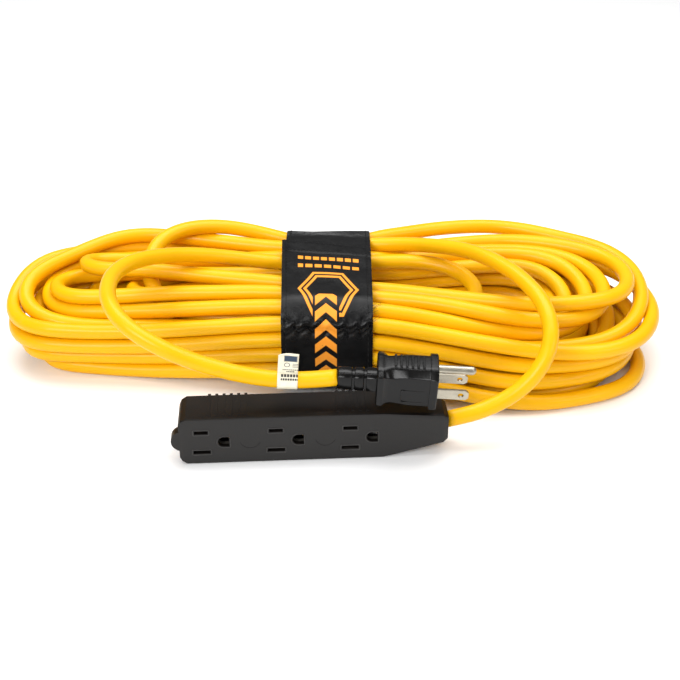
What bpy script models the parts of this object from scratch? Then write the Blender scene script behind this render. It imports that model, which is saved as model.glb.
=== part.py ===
"""Outdoor power cord: a tied hank of three-core cable with a three-outlet tap on one end,
a grounded plug on the other and a hook-and-loop storage strap round its waist.

Metres, +Z up. The object lies on Z = 0, its outlets face -Y and its plug points to +X.
The origin is the middle of the object's box, on the surface it lies on.
"""

from math import atan2, cos, pi, radians, sin

import bmesh
import bpy
import numpy as np
from mathutils import Matrix, Vector

# Everything is laid out round the strap, then moved by this much to centre the box.
LAYOUT_SHIFT = Vector((0.0035, 0.0011293, 0.0))

GAP = 0.0003                    # clearance between neighbouring pieces
CORD_RADIUS = 0.0046            # three 14-gauge conductors in a heavy jacket
CORD_SPACING = 0.018            # distance between a tube's points
CONDUCTOR_RADIUS = 0.00135      # insulated 14-gauge conductor

# Tap: local X runs from its closed end to its cord, the outlets' face is local Y = 0.
TAP_PLACE = Vector((-0.0870, -0.1034, 0.0))
TAP_YAW = radians(3.4)
TAP_HEIGHT = 0.0289
TAP_DEPTH = 0.0250
TAP_SHOULDER = 0.1112           # where the body starts to taper
TAP_LENGTH = 0.1466
TAP_WALL = 0.0028
TAP_CAVITY_END = 0.1165
CORD_ENTRY = Vector((TAP_LENGTH, 0.0112, 0.0165))
CORD_SOCKET_DEPTH = 0.022       # how far the cord's jacket reaches into the tap

# Outlets, to the NEMA 5-15R pattern.
FIRST_OUTLET = 0.0122
OUTLET_PITCH = 0.0403
OUTLET_COUNT = 3
OUTLET_MIDDLE = 0.0142          # height of the line between the two slots
BLADE_SPACING = 0.0127
GROUND_OFFSET = 0.0119
HOT_SLOT = 0.0074
NEUTRAL_SLOT = 0.0092
SLOT_HEIGHT = 0.0020
GROUND_HOLE_RADIUS = 0.0031

# Plug: local X points along the blades, its face is local X = 0, the ground pin is above.
PLUG_PLACE = Vector((0.0520, -0.0880, 0.0416))
PLUG_TURN = (radians(10), radians(2.5), radians(-2))
PLUG_LENGTH = 0.0537
RELIEF_LENGTH = 0.0212
RELIEF_RADIUS = 0.0066
PLUG_AXIS_HEIGHT = 0.0018       # the cord's axis above the line between the blades
PLUG_SOCKET_DEPTH = 0.016
BLADE_WIDTH = 0.00635
BLADE_THICKNESS = 0.0015
BLADE_REACH = 0.0170            # how far the blades stand out of the face
BLADE_ROOT = 0.0215             # how far they reach inside
PIN_RADIUS = 0.00238
PIN_REACH = 0.0203

# Storage strap: two-inch webbing round the waist of the hank.
STRAP_LEFT = -0.0338
STRAP_WIDTH = 0.0508
STRAP_THICKNESS = 0.0012
PATCH_THICKNESS = 0.0009
WAIST_FRONT = -0.0385
WAIST_BACK = 0.0705
WAIST_BOTTOM = 0.0019
WAIST_TOP = 0.0570
WAIST_CORNER = 0.0140
TAIL_ROOT = -0.0245             # Y of the line where the tail lifts off
TAIL_END = 0.0500
TAIL_SHIFT = -0.0020            # the tail lies a little askew of the band
PATCH_LENGTH = 0.0400

# Hank: X, front Y, back Y, bottom Z, top Z and corner radius of each section.
HANK_SECTIONS = [
    (-0.2040, -0.0020, 0.0240, 0.0130, 0.0340, 0.008),
    (-0.2000, -0.0070, 0.0340, 0.0060, 0.0400, 0.014),
    (-0.1860, -0.0130, 0.0460, 0.0015, 0.0460, 0.018),
    (-0.1680, -0.0180, 0.0620, 0.0000, 0.0520, 0.021),
    (-0.1300, -0.0210, 0.0770, 0.0000, 0.0560, 0.022),
    (-0.0850, -0.0230, 0.0860, 0.0000, 0.0530, 0.021),
    (-0.0550, -0.0280, 0.0850, 0.0004, 0.0480, 0.018),
    (-0.0350, -0.0360, 0.0700, 0.0019, 0.0465, 0.016),
]
HANK_SECTIONS_RIGHT = [
    (0.0180, -0.0365, 0.0700, 0.0019, 0.0465, 0.016),
    (0.0400, -0.0440, 0.0830, 0.0004, 0.0480, 0.018),
    (0.0750, -0.0560, 0.0960, 0.0000, 0.0520, 0.020),
    (0.1080, -0.0620, 0.1010, 0.0000, 0.0540, 0.021),
    (0.1400, -0.0590, 0.0830, 0.0000, 0.0530, 0.021),
    (0.1660, -0.0460, 0.0620, 0.0000, 0.0500, 0.020),
    (0.1850, -0.0230, 0.0420, 0.0030, 0.0450, 0.016),
    (0.1940, -0.0120, 0.0240, 0.0100, 0.0400, 0.010),
    (0.1970, -0.0060, 0.0120, 0.0180, 0.0330, 0.005),
]

# Free runs of the cord, from each end piece to the edge of the strap.
PLUG_RUN = [
    (-0.0216, -0.0861, 0.0425), (-0.0356, -0.0869, 0.0440), (-0.0541, -0.0885, 0.0485),
    (-0.0667, -0.0888, 0.0525), (-0.0796, -0.0902, 0.0580), (-0.0919, -0.0903, 0.0640),
    (-0.1049, -0.0879, 0.0705), (-0.1157, -0.0828, 0.0755), (-0.1241, -0.0717, 0.0790),
    (-0.1297, -0.0507, 0.0805), (-0.1292, -0.0269, 0.0800), (-0.1203, -0.0080, 0.0775),
    (-0.1036, 0.0086, 0.0725), (-0.0832, 0.0217, 0.0660), (-0.0606, 0.0323, 0.0580),
]
PLUG_RUN_END = (-0.0375, 0.0370, 0.0524)
TAP_RUN = [
    (0.0831, -0.0796, 0.0200), (0.1024, -0.0747, 0.0300), (0.1141, -0.0726, 0.0450),
    (0.1197, -0.0640, 0.0590), (0.1151, -0.0413, 0.0685), (0.1038, -0.0176, 0.0720),
    (0.0920, 0.0003, 0.0720), (0.0785, 0.0190, 0.0700), (0.0504, 0.0480, 0.0605),
]
TAP_RUN_END = (0.0208, 0.0620, 0.0524)

TAG_STRETCH = 2                 # the straight stretch of the plug run's tube that carries it
TAG_WIDTH = 0.0128
TAG_HEIGHT = 0.0185             # from the cord's axis to the flag's top edge

collections = {}


def start_scene():
    """Empties the scene and makes the collections for the object and its cutters."""
    for old in list(bpy.data.objects):
        bpy.data.objects.remove(old)
    for name in ("power_cord", "cutters"):
        collections[name] = bpy.data.collections.new(name)
        bpy.context.scene.collection.children.link(collections[name])


def make_material(name, color, roughness, metallic=0.0):
    material = bpy.data.materials.new(name)
    material.use_nodes = True
    shader = material.node_tree.nodes["Principled BSDF"]
    shader.inputs["Base Color"].default_value = (*color, 1.0)
    shader.inputs["Roughness"].default_value = roughness
    shader.inputs["Metallic"].default_value = metallic
    return material


def make_materials():
    return {
        "jacket": make_material("jacket", (0.95, 0.60, 0.02), 0.38),
        "housing": make_material("housing", (0.030, 0.028, 0.027), 0.45),
        "insulator": make_material("insulator", (0.75, 0.72, 0.65), 0.50),
        "plated": make_material("plated", (0.80, 0.79, 0.76), 0.25, 1.0),
        "brass": make_material("brass", (0.78, 0.60, 0.28), 0.30, 1.0),
        "black_wire": make_material("black_wire", (0.02, 0.02, 0.02), 0.45),
        "white_wire": make_material("white_wire", (0.85, 0.85, 0.83), 0.45),
        "green_wire": make_material("green_wire", (0.03, 0.35, 0.08), 0.45),
        "webbing": make_material("webbing", (0.018, 0.018, 0.020), 0.55),
        "hook_loop": make_material("hook_loop", (0.012, 0.012, 0.013), 0.90),
        "label": make_material("label", (0.86, 0.83, 0.70), 0.60),
    }


def add_object(name, data, collection="power_cord", parent=None, material=None):
    obj = bpy.data.objects.new(name, data)
    collections[collection].objects.link(obj)
    obj.parent = parent
    if material:
        data.materials.append(material)
    if collection == "cutters":
        obj.hide_render = True
        obj.display_type = "WIRE"
    return obj


def add_empty(name, location, rotation):
    empty = add_object(name, None)
    empty.location = location
    empty.rotation_euler = rotation
    return empty


def shade(mesh):
    mesh.shade_smooth()
    mesh.set_sharp_from_angle(angle=radians(35))


def finish_mesh(shape, name):
    """Turns a bmesh into a mesh whose faces point outwards."""
    bmesh.ops.recalc_face_normals(shape, faces=shape.faces)
    mesh = bpy.data.meshes.new(name)
    shape.to_mesh(mesh)
    shape.free()
    shade(mesh)
    return mesh


def box_mesh(name, low, high):
    """A box between two corners."""
    low, high = Vector(low), Vector(high)
    size = high - low
    scale = Matrix.Diagonal((*size, 1.0))
    shape = bmesh.new()
    bmesh.ops.create_cube(shape, size=1.0, matrix=Matrix.Translation((low + high) / 2) @ scale)
    return finish_mesh(shape, name)


def rod_mesh(name, start, end, radius, segments=16):
    """A round rod between two points."""
    start, end = Vector(start), Vector(end)
    turn = (end - start).to_track_quat("Z", "Y").to_matrix().to_4x4()
    shape = bmesh.new()
    bmesh.ops.create_cone(
        shape, cap_ends=True, segments=segments, radius1=radius, radius2=radius,
        depth=(end - start).length, matrix=Matrix.Translation((start + end) / 2) @ turn,
    )
    return finish_mesh(shape, name)


def rounded_ring(x, front, back, bottom, top, radius, steps=4):
    """Points of a rounded rectangle in the plane at x, as (x, y, z)."""
    corners = [(back, top, 0), (front, top, 1), (front, bottom, 2), (back, bottom, 3)]
    ring = []
    for y, z, quarter in corners:
        centre_y = y + (radius if y == front else -radius)
        centre_z = z + (radius if z == bottom else -radius)
        for step in range(steps + 1):
            angle = (quarter + step / steps) * pi / 2
            ring.append((x, centre_y + radius * cos(angle), centre_z + radius * sin(angle)))
    return ring


def loft_mesh(name, rings):
    """A closed body through rings of equally many points, with flat ends, in triangles."""
    shape = bmesh.new()
    loops = [[shape.verts.new(point) for point in ring] for ring in rings]
    for near, far in zip(loops, loops[1:]):
        for i in range(len(near)):
            j = (i + 1) % len(near)
            shape.faces.new((near[i], near[j], far[j], far[i]))
    shape.faces.new(loops[0])
    shape.faces.new(loops[-1])
    bmesh.ops.triangulate(shape, faces=shape.faces)
    return finish_mesh(shape, name)


def turned_mesh(name, profile, segments=20):
    """A solid turned round the X axis from (x, radius) points that start and end on it."""
    rings = []
    for x, radius in profile[1:-1]:
        angles = [2 * pi * i / segments for i in range(segments)]
        rings.append([(x, radius * cos(a), radius * sin(a)) for a in angles])
    return loft_mesh(name, rings)


def combine(obj, helpers, operation):
    """Joins helper meshes to an object, or cuts them from it."""
    for number, mesh in enumerate(helpers):
        helper = add_object(f"{obj.name}_{operation.lower()}_{number}", mesh, "cutters", obj.parent)
        modifier = obj.modifiers.new(helper.name, "BOOLEAN")
        modifier.operation = operation
        modifier.object = helper


def smooth_route(points, spacing):
    """Evenly spaced points on a Catmull-Rom curve through the route's points."""
    points = np.array([tuple(p) for p in points], float)
    ends = (2 * points[0] - points[1], 2 * points[-1] - points[-2])
    padded = np.vstack((ends[0], points, ends[1]))
    t = np.linspace(0, 1, 24, endpoint=False)[:, None]
    fine = []
    for before, start, end, after in zip(padded, padded[1:], padded[2:], padded[3:]):
        fine.append(0.5 * (2 * start + (end - before) * t
                           + (2 * before - 5 * start + 4 * end - after) * t ** 2
                           + (3 * start - before - 3 * end + after) * t ** 3))
    fine = np.vstack((*fine, points[-1:]))
    travel = np.concatenate(([0], np.cumsum(np.linalg.norm(np.diff(fine, axis=0), axis=1))))
    count = max(3, round(travel[-1] / spacing) + 1)
    wanted = np.linspace(0, travel[-1], count)
    return np.column_stack([np.interp(wanted, travel, fine[:, axis]) for axis in range(3)])


def add_tube(name, points, radius, material, parent=None):
    """A tube with filled ends along a chain of points."""
    curve = bpy.data.curves.new(name, "CURVE")
    curve.dimensions = "3D"
    curve.bevel_depth = radius
    curve.bevel_resolution = 2
    curve.use_fill_caps = True
    spline = curve.splines.new("POLY")
    spline.points.add(len(points) - 1)
    for spot, point in zip(spline.points, points):
        spot.co = (*point, 1.0)
    return add_object(name, curve, parent=parent, material=material)


def slot_centres():
    """Local X of each outlet's slots."""
    return [FIRST_OUTLET + i * OUTLET_PITCH for i in range(OUTLET_COUNT)]


def outlet_cutters(front, back, grow=0.0):
    """Cutters for the blade slots and ground holes between two depths of the tap."""
    cutters = []
    rows = ((BLADE_SPACING / 2, HOT_SLOT), (-BLADE_SPACING / 2, NEUTRAL_SLOT))
    for x in slot_centres():
        for height, width in rows:
            z = OUTLET_MIDDLE + height
            half_wide, half_high = width / 2 + grow, SLOT_HEIGHT / 2 + grow
            cutters.append(box_mesh(
                "slot", (x - half_wide, front, z - half_high), (x + half_wide, back, z + half_high)))
        ground = x + GROUND_OFFSET
        radius = GROUND_HOLE_RADIUS + grow
        cutters.append(rod_mesh(
            "ground_round", (ground, front, OUTLET_MIDDLE), (ground, back, OUTLET_MIDDLE), radius))
        cutters.append(box_mesh(
            "ground_square", (ground, front + 0.0001, OUTLET_MIDDLE - radius),
            (ground + radius, back + 0.0001, OUTLET_MIDDLE + radius)))
    return cutters


def make_tap_overmould(tap, material):
    """The moulded body: straight over the outlets, then tapering to the cord."""
    sections = [
        (0.0000, 0.0006, 0.0230, 0.0040, 0.0252, 0.0011),
        (0.0012, 0.0003, 0.0243, 0.0016, 0.0274, 0.0012),
        (0.0040, 0.0000, TAP_DEPTH, 0.0000, TAP_HEIGHT, 0.0013),
        (TAP_SHOULDER, 0.0000, TAP_DEPTH, 0.0000, TAP_HEIGHT, 0.0013),
        (0.1440, 0.0004, 0.0205, 0.0072, 0.0262, 0.0030),
        (TAP_LENGTH, 0.0020, 0.0190, 0.0092, 0.0242, 0.0020),
    ]
    mesh = loft_mesh("tap_overmould", [rounded_ring(*section, steps=2) for section in sections])
    body = add_object("tap_overmould", mesh, parent=tap, material=material)

    lug = rod_mesh("lug", (0.0020, 0.0004, 0.0150), (0.0020, 0.0064, 0.0150), 0.00635, 24)
    ribs = [lug]
    for first, count in ((0.0165, 6), (0.0865, 5)):
        for i in range(count):
            x = first + i * 0.0040
            ribs.append(box_mesh("rib", (x - 0.0008, 0.0040, 0.0120), (x + 0.0008, 0.0256, 0.0295)))
    combine(body, ribs, "UNION")

    cavity = box_mesh(
        "cavity", (0.0075, TAP_WALL, TAP_WALL),
        (TAP_CAVITY_END, TAP_DEPTH - TAP_WALL, TAP_HEIGHT - TAP_WALL))
    socket = rod_mesh(
        "socket", (TAP_CAVITY_END - 0.001, *CORD_ENTRY.yz), (TAP_LENGTH + 0.001, *CORD_ENTRY.yz),
        CORD_RADIUS + 0.0004)
    combine(body, [cavity, socket, *outlet_cutters(-0.001, TAP_WALL + 0.001)], "DIFFERENCE")


def make_tap_carriers(tap, material):
    """The two insulators in the tap: a slotted plate in front and a tray behind."""
    inside_top = TAP_HEIGHT - TAP_WALL - GAP
    inside_bottom = TAP_WALL + GAP
    left, right = 0.0075 + GAP, TAP_CAVITY_END - GAP
    plate = box_mesh(
        "tap_front_insulator", (left, TAP_WALL + GAP, inside_bottom), (right, 0.0055, inside_top))
    front = add_object("tap_front_insulator", plate, parent=tap, material=material)
    combine(front, outlet_cutters(0.002, 0.007, 0.0002), "DIFFERENCE")

    tray = box_mesh(
        "tap_rear_insulator", (left, 0.0184, inside_bottom),
        (right, TAP_DEPTH - TAP_WALL - GAP, inside_top))
    rear = add_object("tap_rear_insulator", tray, parent=tap, material=material)
    hollow = box_mesh(
        "hollow", (left + 0.0012, 0.017, inside_bottom + 0.0012),
        (right - 0.0012, 0.0206, inside_top - 0.0012))
    combine(rear, [hollow], "DIFFERENCE")


def make_bus_bars(tap, materials):
    """Three brass strips behind the outlets, each with a pair of contact leaves per outlet."""
    strip_front, strip_back = 0.0170, 0.0178
    leaf_front = 0.0062
    upper, lower = OUTLET_MIDDLE + BLADE_SPACING / 2, OUTLET_MIDDLE - BLADE_SPACING / 2
    rows = (("hot_bus_bar", upper, 0.0105, 0.1050), ("neutral_bus_bar", lower, 0.0105, 0.1050))
    for name, z, left, right in rows:
        strip = box_mesh(name, (left, strip_front, z - 0.0022), (right, strip_back, z + 0.0022))
        bar = add_object(name, strip, parent=tap, material=materials["brass"])
        leaves = []
        for x in slot_centres():
            for side in (-1, 1):
                inner, outer = z + side * 0.0009, z + side * 0.0014
                leaves.append(box_mesh(
                    "leaf", (x - 0.0030, leaf_front, min(inner, outer)),
                    (x + 0.0030, strip_front + 0.0004, max(inner, outer))))
        combine(bar, leaves, "UNION")

    strip = box_mesh(
        "ground_bus_bar", (0.0180, strip_front, OUTLET_MIDDLE - 0.0020),
        (0.1145, strip_back, OUTLET_MIDDLE + 0.0020))
    bar = add_object("ground_bus_bar", strip, parent=tap, material=materials["brass"])
    leaves = []
    for x in slot_centres():
        for side in (-1, 1):
            inner, outer = side * (PIN_RADIUS + 0.0001), side * (PIN_RADIUS + 0.0006)
            middle = x + GROUND_OFFSET
            leaves.append(box_mesh(
                "leaf", (middle + min(inner, outer), leaf_front, OUTLET_MIDDLE - 0.0018),
                (middle + max(inner, outer), strip_front + 0.0004, OUTLET_MIDDLE + 0.0018)))
    combine(bar, leaves, "UNION")


def conductor_start(number, radius=0.0021):
    """Y and Z offsets of a conductor from the cord's axis: hot, neutral, ground."""
    angle = (radians(90), radians(210), radians(330))[number]
    return radius * cos(angle), radius * sin(angle)


def make_tap_wires(tap, materials):
    """The three conductors from the cord to the bus bars."""
    jacket_end = TAP_LENGTH - CORD_SOCKET_DEPTH - GAP
    touch = 0.0170 - CONDUCTOR_RADIUS - GAP
    ends = (
        ("tap_hot_wire", "black_wire", 0, 0.1000, OUTLET_MIDDLE + BLADE_SPACING / 2),
        ("tap_neutral_wire", "white_wire", 1, 0.1000, OUTLET_MIDDLE - BLADE_SPACING / 2),
        ("tap_ground_wire", "green_wire", 2, 0.1112, OUTLET_MIDDLE),
    )
    for name, finish, number, end_x, end_z in ends:
        y, z = conductor_start(number)
        start = (jacket_end, CORD_ENTRY.y + y, CORD_ENTRY.z + z)
        bend_x = end_x + 0.7 * (TAP_CAVITY_END - end_x)
        points = [
            start, (jacket_end - 0.004, *start[1:]), (TAP_CAVITY_END, *start[1:]),
            (bend_x, (start[1] + touch) / 2, 0.15 * start[2] + 0.85 * end_z),
            (end_x + 0.0015, touch, end_z), (end_x, touch, end_z),
        ]
        add_tube(name, smooth_route(points, 0.0035), CONDUCTOR_RADIUS, materials[finish], tap)


def house_outline(half_wide, bottom, ridge, crown):
    """The plug's cross-section: slightly bowed sides to a ridge, then a crown over the pin."""
    bend = 0.0030
    right = [(half_wide, bottom + bend), (half_wide + 0.0003, 0.0020), (half_wide, ridge),
             (0.62 * half_wide, crown - 0.0005), (0.25 * half_wide, crown)]
    left = [(-y, z) for y, z in reversed(right)]
    under = [(-half_wide + 0.3 * bend, bottom + 0.3 * bend), (-half_wide + bend, bottom),
             (half_wide - bend, bottom), (half_wide - 0.3 * bend, bottom + 0.3 * bend)]
    return right + left + under


def make_plug_overmould(plug, material):
    """The plug's moulded body with its wings, its face flange and its strain relief."""
    axis = PLUG_AXIS_HEIGHT
    relief = RELIEF_RADIUS
    rear = -PLUG_LENGTH
    wing = rear + RELIEF_LENGTH
    sections = [(rear, relief - 0.0006), (rear + 0.0008, relief)]
    for groove in (rear + 0.0085, rear + 0.0150):
        sections += [(groove - 0.0006, relief), (groove - 0.0005, relief - 0.0010),
                     (groove + 0.0005, relief - 0.0010), (groove + 0.0006, relief)]
    sections.append((wing - 0.0002, relief))
    body_sections = [
        (wing, 0.0110, -0.0080, 0.0128, 0.0150),
        (wing + 0.0036, 0.0110, -0.0080, 0.0128, 0.0150),
        (wing + 0.0090, 0.0094, -0.0072, 0.0112, 0.0158),
        (wing + 0.0185, 0.0100, -0.0074, 0.0122, 0.0160),
        (-0.0046, 0.0100, -0.0074, 0.0122, 0.0160),
        (-0.0042, 0.0114, -0.0084, 0.0130, 0.0168),
        (0.0000, 0.0114, -0.0084, 0.0130, 0.0168),
    ]
    turns = [atan2(z - axis, y) for y, z in house_outline(*body_sections[0][1:])]
    rings = [[(x, r * cos(a), axis + r * sin(a)) for a in turns] for x, r in sections]
    for x, *sizes in body_sections:
        rings.append([(x, y, z) for y, z in house_outline(*sizes)])
    body = add_object("plug_overmould", loft_mesh("plug_overmould", rings), parent=plug,
                      material=material)
    ribs = []
    for i in range(6):
        x = -0.0229 + i * 0.0030
        ribs.append(box_mesh("rib", (x, -0.0050, 0.0150), (x + 0.0014, 0.0050, 0.0168)))
    combine(body, ribs, "UNION")

    cavity = box_mesh("cavity", (-0.0290, -0.0081, -0.0050), (-0.0030, 0.0081, 0.0100))
    socket = rod_mesh("socket", (rear - 0.001, 0, axis), (-0.028, 0, axis), CORD_RADIUS + 0.0004)
    pin_way = rod_mesh("pin_way", (-0.0240, 0, GROUND_OFFSET), (0.001, 0, GROUND_OFFSET),
                       PIN_RADIUS + GAP, 20)
    ways = [cavity, socket, pin_way]
    for side in (-1, 1):
        middle = side * BLADE_SPACING / 2
        half_thick, half_wide = BLADE_THICKNESS / 2 + GAP, BLADE_WIDTH / 2 + GAP
        ways.append(box_mesh("blade_way", (-0.004, middle - half_thick, -half_wide),
                             (0.001, middle + half_thick, half_wide)))
    combine(body, ways, "DIFFERENCE")


def make_plug_bridge(plug, material):
    """The hard block that holds both blades and the pin behind the face."""
    block = box_mesh("plug_bridge", (-0.0150, -0.0078, -0.0047), (-0.0033, 0.0078, 0.0097))
    bridge = add_object("plug_bridge", block, parent=plug, material=material)
    ways = [rod_mesh("pin_way", (-0.016, 0, GROUND_OFFSET), (-0.002, 0, GROUND_OFFSET),
                     PIN_RADIUS + GAP, 20)]
    for side in (-1, 1):
        middle = side * BLADE_SPACING / 2
        half_thick, half_wide = BLADE_THICKNESS / 2 + GAP, BLADE_WIDTH / 2 + GAP
        ways.append(box_mesh("blade_way", (-0.016, middle - half_thick, -half_wide),
                             (-0.002, middle + half_thick, half_wide)))
    combine(bridge, ways, "DIFFERENCE")


def make_plug_contacts(plug, material):
    """Two flat blades with a hole near the tip, and the round ground pin."""
    for name, side in (("neutral_blade", 1), ("hot_blade", -1)):
        middle = side * BLADE_SPACING / 2
        half = BLADE_THICKNESS / 2
        outline = [(-BLADE_ROOT, -0.5), (-BLADE_ROOT, 0.5), (BLADE_REACH - 0.0016, 0.5),
                   (BLADE_REACH, 0.28), (BLADE_REACH, -0.28), (BLADE_REACH - 0.0016, -0.5)]
        rings = [[(x, y, z * BLADE_WIDTH) for x, z in outline]
                 for y in (middle - half, middle + half)]
        blade = add_object(name, loft_mesh(name, rings), parent=plug, material=material)
        hole_x = BLADE_REACH - 0.0042
        hole = rod_mesh("hole", (hole_x, middle - 0.002, 0), (hole_x, middle + 0.002, 0), 0.0015, 14)
        combine(blade, [hole], "DIFFERENCE")

    tip = [(PIN_REACH - PIN_RADIUS * (1 - sin(a)), PIN_RADIUS * cos(a))
           for a in (0, pi / 8, pi / 4, 3 * pi / 8, 0.47 * pi)]
    profile = [(-BLADE_ROOT, 0), (-BLADE_ROOT, PIN_RADIUS), *tip, (PIN_REACH, 0)]
    pin = add_object("ground_pin", turned_mesh("ground_pin", profile), parent=plug,
                     material=material)
    pin.location = (0, 0, GROUND_OFFSET)


def make_plug_wires(plug, materials):
    """The three conductors from the cord to the blades and the pin."""
    jacket_end = -PLUG_LENGTH + PLUG_SOCKET_DEPTH + GAP
    inner_face = BLADE_SPACING / 2 - BLADE_THICKNESS / 2 - CONDUCTOR_RADIUS - GAP
    below_pin = GROUND_OFFSET - PIN_RADIUS - CONDUCTOR_RADIUS - GAP
    # The cord's conductors sit the other way round here, the ground one on top.
    ends = (
        ("plug_ground_wire", "green_wire", 0, 0.0, below_pin),
        ("plug_hot_wire", "black_wire", 1, -inner_face, -0.0010),
        ("plug_neutral_wire", "white_wire", 2, inner_face, -0.0010),
    )
    for name, finish, number, end_y, end_z in ends:
        y, z = conductor_start(number)
        start = (jacket_end, y, PLUG_AXIS_HEIGHT + z)
        points = [start, (jacket_end + 0.006, *start[1:]), (-0.0235, (y + end_y) / 2,
                  (start[2] + end_z) / 2), (-0.0195, end_y, end_z), (-0.0157, end_y, end_z)]
        add_tube(name, smooth_route(points, 0.0035), CONDUCTOR_RADIUS, materials[finish], plug)


def make_cord_runs(tap, plug, material):
    """The two free runs, each from inside its end piece to the edge of the strap."""
    bpy.context.view_layer.update()
    to_layout = Matrix.Translation(-LAYOUT_SHIFT)
    plug_frame = to_layout @ plug.matrix_world
    tap_frame = to_layout @ tap.matrix_world

    rear = -PLUG_LENGTH
    inside_plug = [plug_frame @ Vector((x, 0, PLUG_AXIS_HEIGHT))
                   for x in (rear + PLUG_SOCKET_DEPTH, rear, rear - 0.006)]
    inside_tap = [tap_frame @ Vector((x, *CORD_ENTRY.yz))
                  for x in (TAP_LENGTH - CORD_SOCKET_DEPTH, TAP_LENGTH, TAP_LENGTH + 0.008)]
    routes = {
        "cord_plug_run": inside_plug + PLUG_RUN + [PLUG_RUN_END],
        "cord_tap_run": inside_tap + TAP_RUN + [TAP_RUN_END],
    }
    chains = {name: smooth_route(route, CORD_SPACING) for name, route in routes.items()}
    for name, points in chains.items():
        run = add_tube(name, points, CORD_RADIUS, material)
        run.location = LAYOUT_SHIFT
    return chains["cord_plug_run"]


def make_hank(material):
    """The outer shape of the tied cord, with its top runs in the part under the strap."""
    waist = [(x, WAIST_FRONT, WAIST_BACK, WAIST_BOTTOM, WAIST_TOP, WAIST_CORNER)
             for x in (STRAP_LEFT - 0.0008, STRAP_LEFT + STRAP_WIDTH + 0.0006)]
    sections = [*HANK_SECTIONS, *waist, *HANK_SECTIONS_RIGHT]
    rings = [rounded_ring(*section, steps=5) for section in sections]
    hank = add_object("cord_hank", loft_mesh("cord_hank", rings), material=material)
    hank.location = LAYOUT_SHIFT


def band_ring(x, clearance):
    """The waist's outline at x, grown by a clearance."""
    return rounded_ring(
        x, WAIST_FRONT - clearance, WAIST_BACK + clearance, WAIST_BOTTOM - clearance,
        WAIST_TOP + clearance, WAIST_CORNER + clearance, steps=5)


def make_strap_band(material):
    """The loop of webbing round the waist."""
    right = STRAP_LEFT + STRAP_WIDTH
    outside = [band_ring(x, GAP + STRAP_THICKNESS) for x in (STRAP_LEFT, right)]
    band = add_object("strap_band", loft_mesh("strap_band", outside), material=material)
    band.location = LAYOUT_SHIFT
    inside = [band_ring(x, GAP) for x in (STRAP_LEFT - 0.001, right + 0.001)]
    combine(band, [loft_mesh("inside", inside)], "DIFFERENCE")
    band.modifiers[0].object.location = LAYOUT_SHIFT


def make_strap_tail(materials):
    """The strap's loose end on top of the band, and the two patches that hold it."""
    band_top = WAIST_TOP + GAP + STRAP_THICKNESS
    loop_bottom = band_top + GAP
    hook_bottom = loop_bottom + PATCH_THICKNESS + GAP
    tail_bottom = hook_bottom + PATCH_THICKNESS + GAP
    tail_middle = tail_bottom + STRAP_THICKNESS / 2
    left, right = STRAP_LEFT + TAIL_SHIFT, STRAP_LEFT + STRAP_WIDTH + TAIL_SHIFT

    loop = box_mesh("strap_loop_patch",
                    (left + 0.003, TAIL_END - PATCH_LENGTH, loop_bottom),
                    (right - 0.001, TAIL_END, loop_bottom + PATCH_THICKNESS))
    patch = add_object("strap_loop_patch", loop, material=materials["hook_loop"])
    patch.location = LAYOUT_SHIFT

    root = add_empty("strap_tail_root", LAYOUT_SHIFT + Vector((0, TAIL_ROOT, tail_middle)), (0, 0, 0))
    half = STRAP_THICKNESS / 2
    reach = TAIL_END - TAIL_ROOT
    plate = box_mesh("strap_tail", (left, 0, -half), (right, reach, half))
    add_object("strap_tail", plate, parent=root, material=materials["webbing"])
    hook_top = -half - GAP
    hook = box_mesh("strap_hook_patch",
                    (left + 0.002, reach - PATCH_LENGTH, hook_top - PATCH_THICKNESS),
                    (right - 0.002, reach - 0.002, hook_top))
    add_object("strap_hook_patch", hook, parent=root, material=materials["hook_loop"])


def make_tag(plug_chain, material):
    """The paper label: a collar round the cord with a flag standing up from it."""
    start, end = Vector(plug_chain[TAG_STRETCH]), Vector(plug_chain[TAG_STRETCH + 1])
    here = (start + end) / 2
    along = (end - start).normalized()
    lean = radians(-12)
    up = Vector((0, sin(lean), cos(lean)))
    up = (up - up.dot(along) * along).normalized()
    frame = Matrix((along, up.cross(along), up)).transposed().to_4x4()
    frame.translation = here + LAYOUT_SHIFT
    place = add_empty("tag_place", (0, 0, 0), (0, 0, 0))
    place.matrix_world = frame

    inner, outer = CORD_RADIUS + 0.0005, CORD_RADIUS + 0.0008
    half = TAG_WIDTH / 2
    collar = rod_mesh("cord_tag", (-half, 0, 0), (half, 0, 0), outer, 20)
    tag = add_object("cord_tag", collar, parent=place, material=material)
    flag = box_mesh("flag", (-half, -0.0004, CORD_RADIUS + 0.0001), (half, 0.0004, TAG_HEIGHT))
    combine(tag, [flag], "UNION")
    bore = rod_mesh("bore", (-half - 0.001, 0, 0), (half + 0.001, 0, 0), inner, 20)
    combine(tag, [bore], "DIFFERENCE")


def main():
    start_scene()
    materials = make_materials()
    tap = add_empty("tap_place", TAP_PLACE + LAYOUT_SHIFT, (0, 0, TAP_YAW))
    plug = add_empty("plug_place", PLUG_PLACE + LAYOUT_SHIFT, PLUG_TURN)
    make_tap_overmould(tap, materials["housing"])
    make_tap_carriers(tap, materials["insulator"])
    make_bus_bars(tap, materials)
    make_tap_wires(tap, materials)
    make_plug_overmould(plug, materials["housing"])
    make_plug_bridge(plug, materials["insulator"])
    make_plug_contacts(plug, materials["plated"])
    make_plug_wires(plug, materials)
    plug_chain = make_cord_runs(tap, plug, materials["jacket"])
    make_hank(materials["jacket"])
    make_strap_band(materials["webbing"])
    make_strap_tail(materials)
    make_tag(plug_chain, materials["label"])


main()
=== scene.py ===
import math

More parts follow.
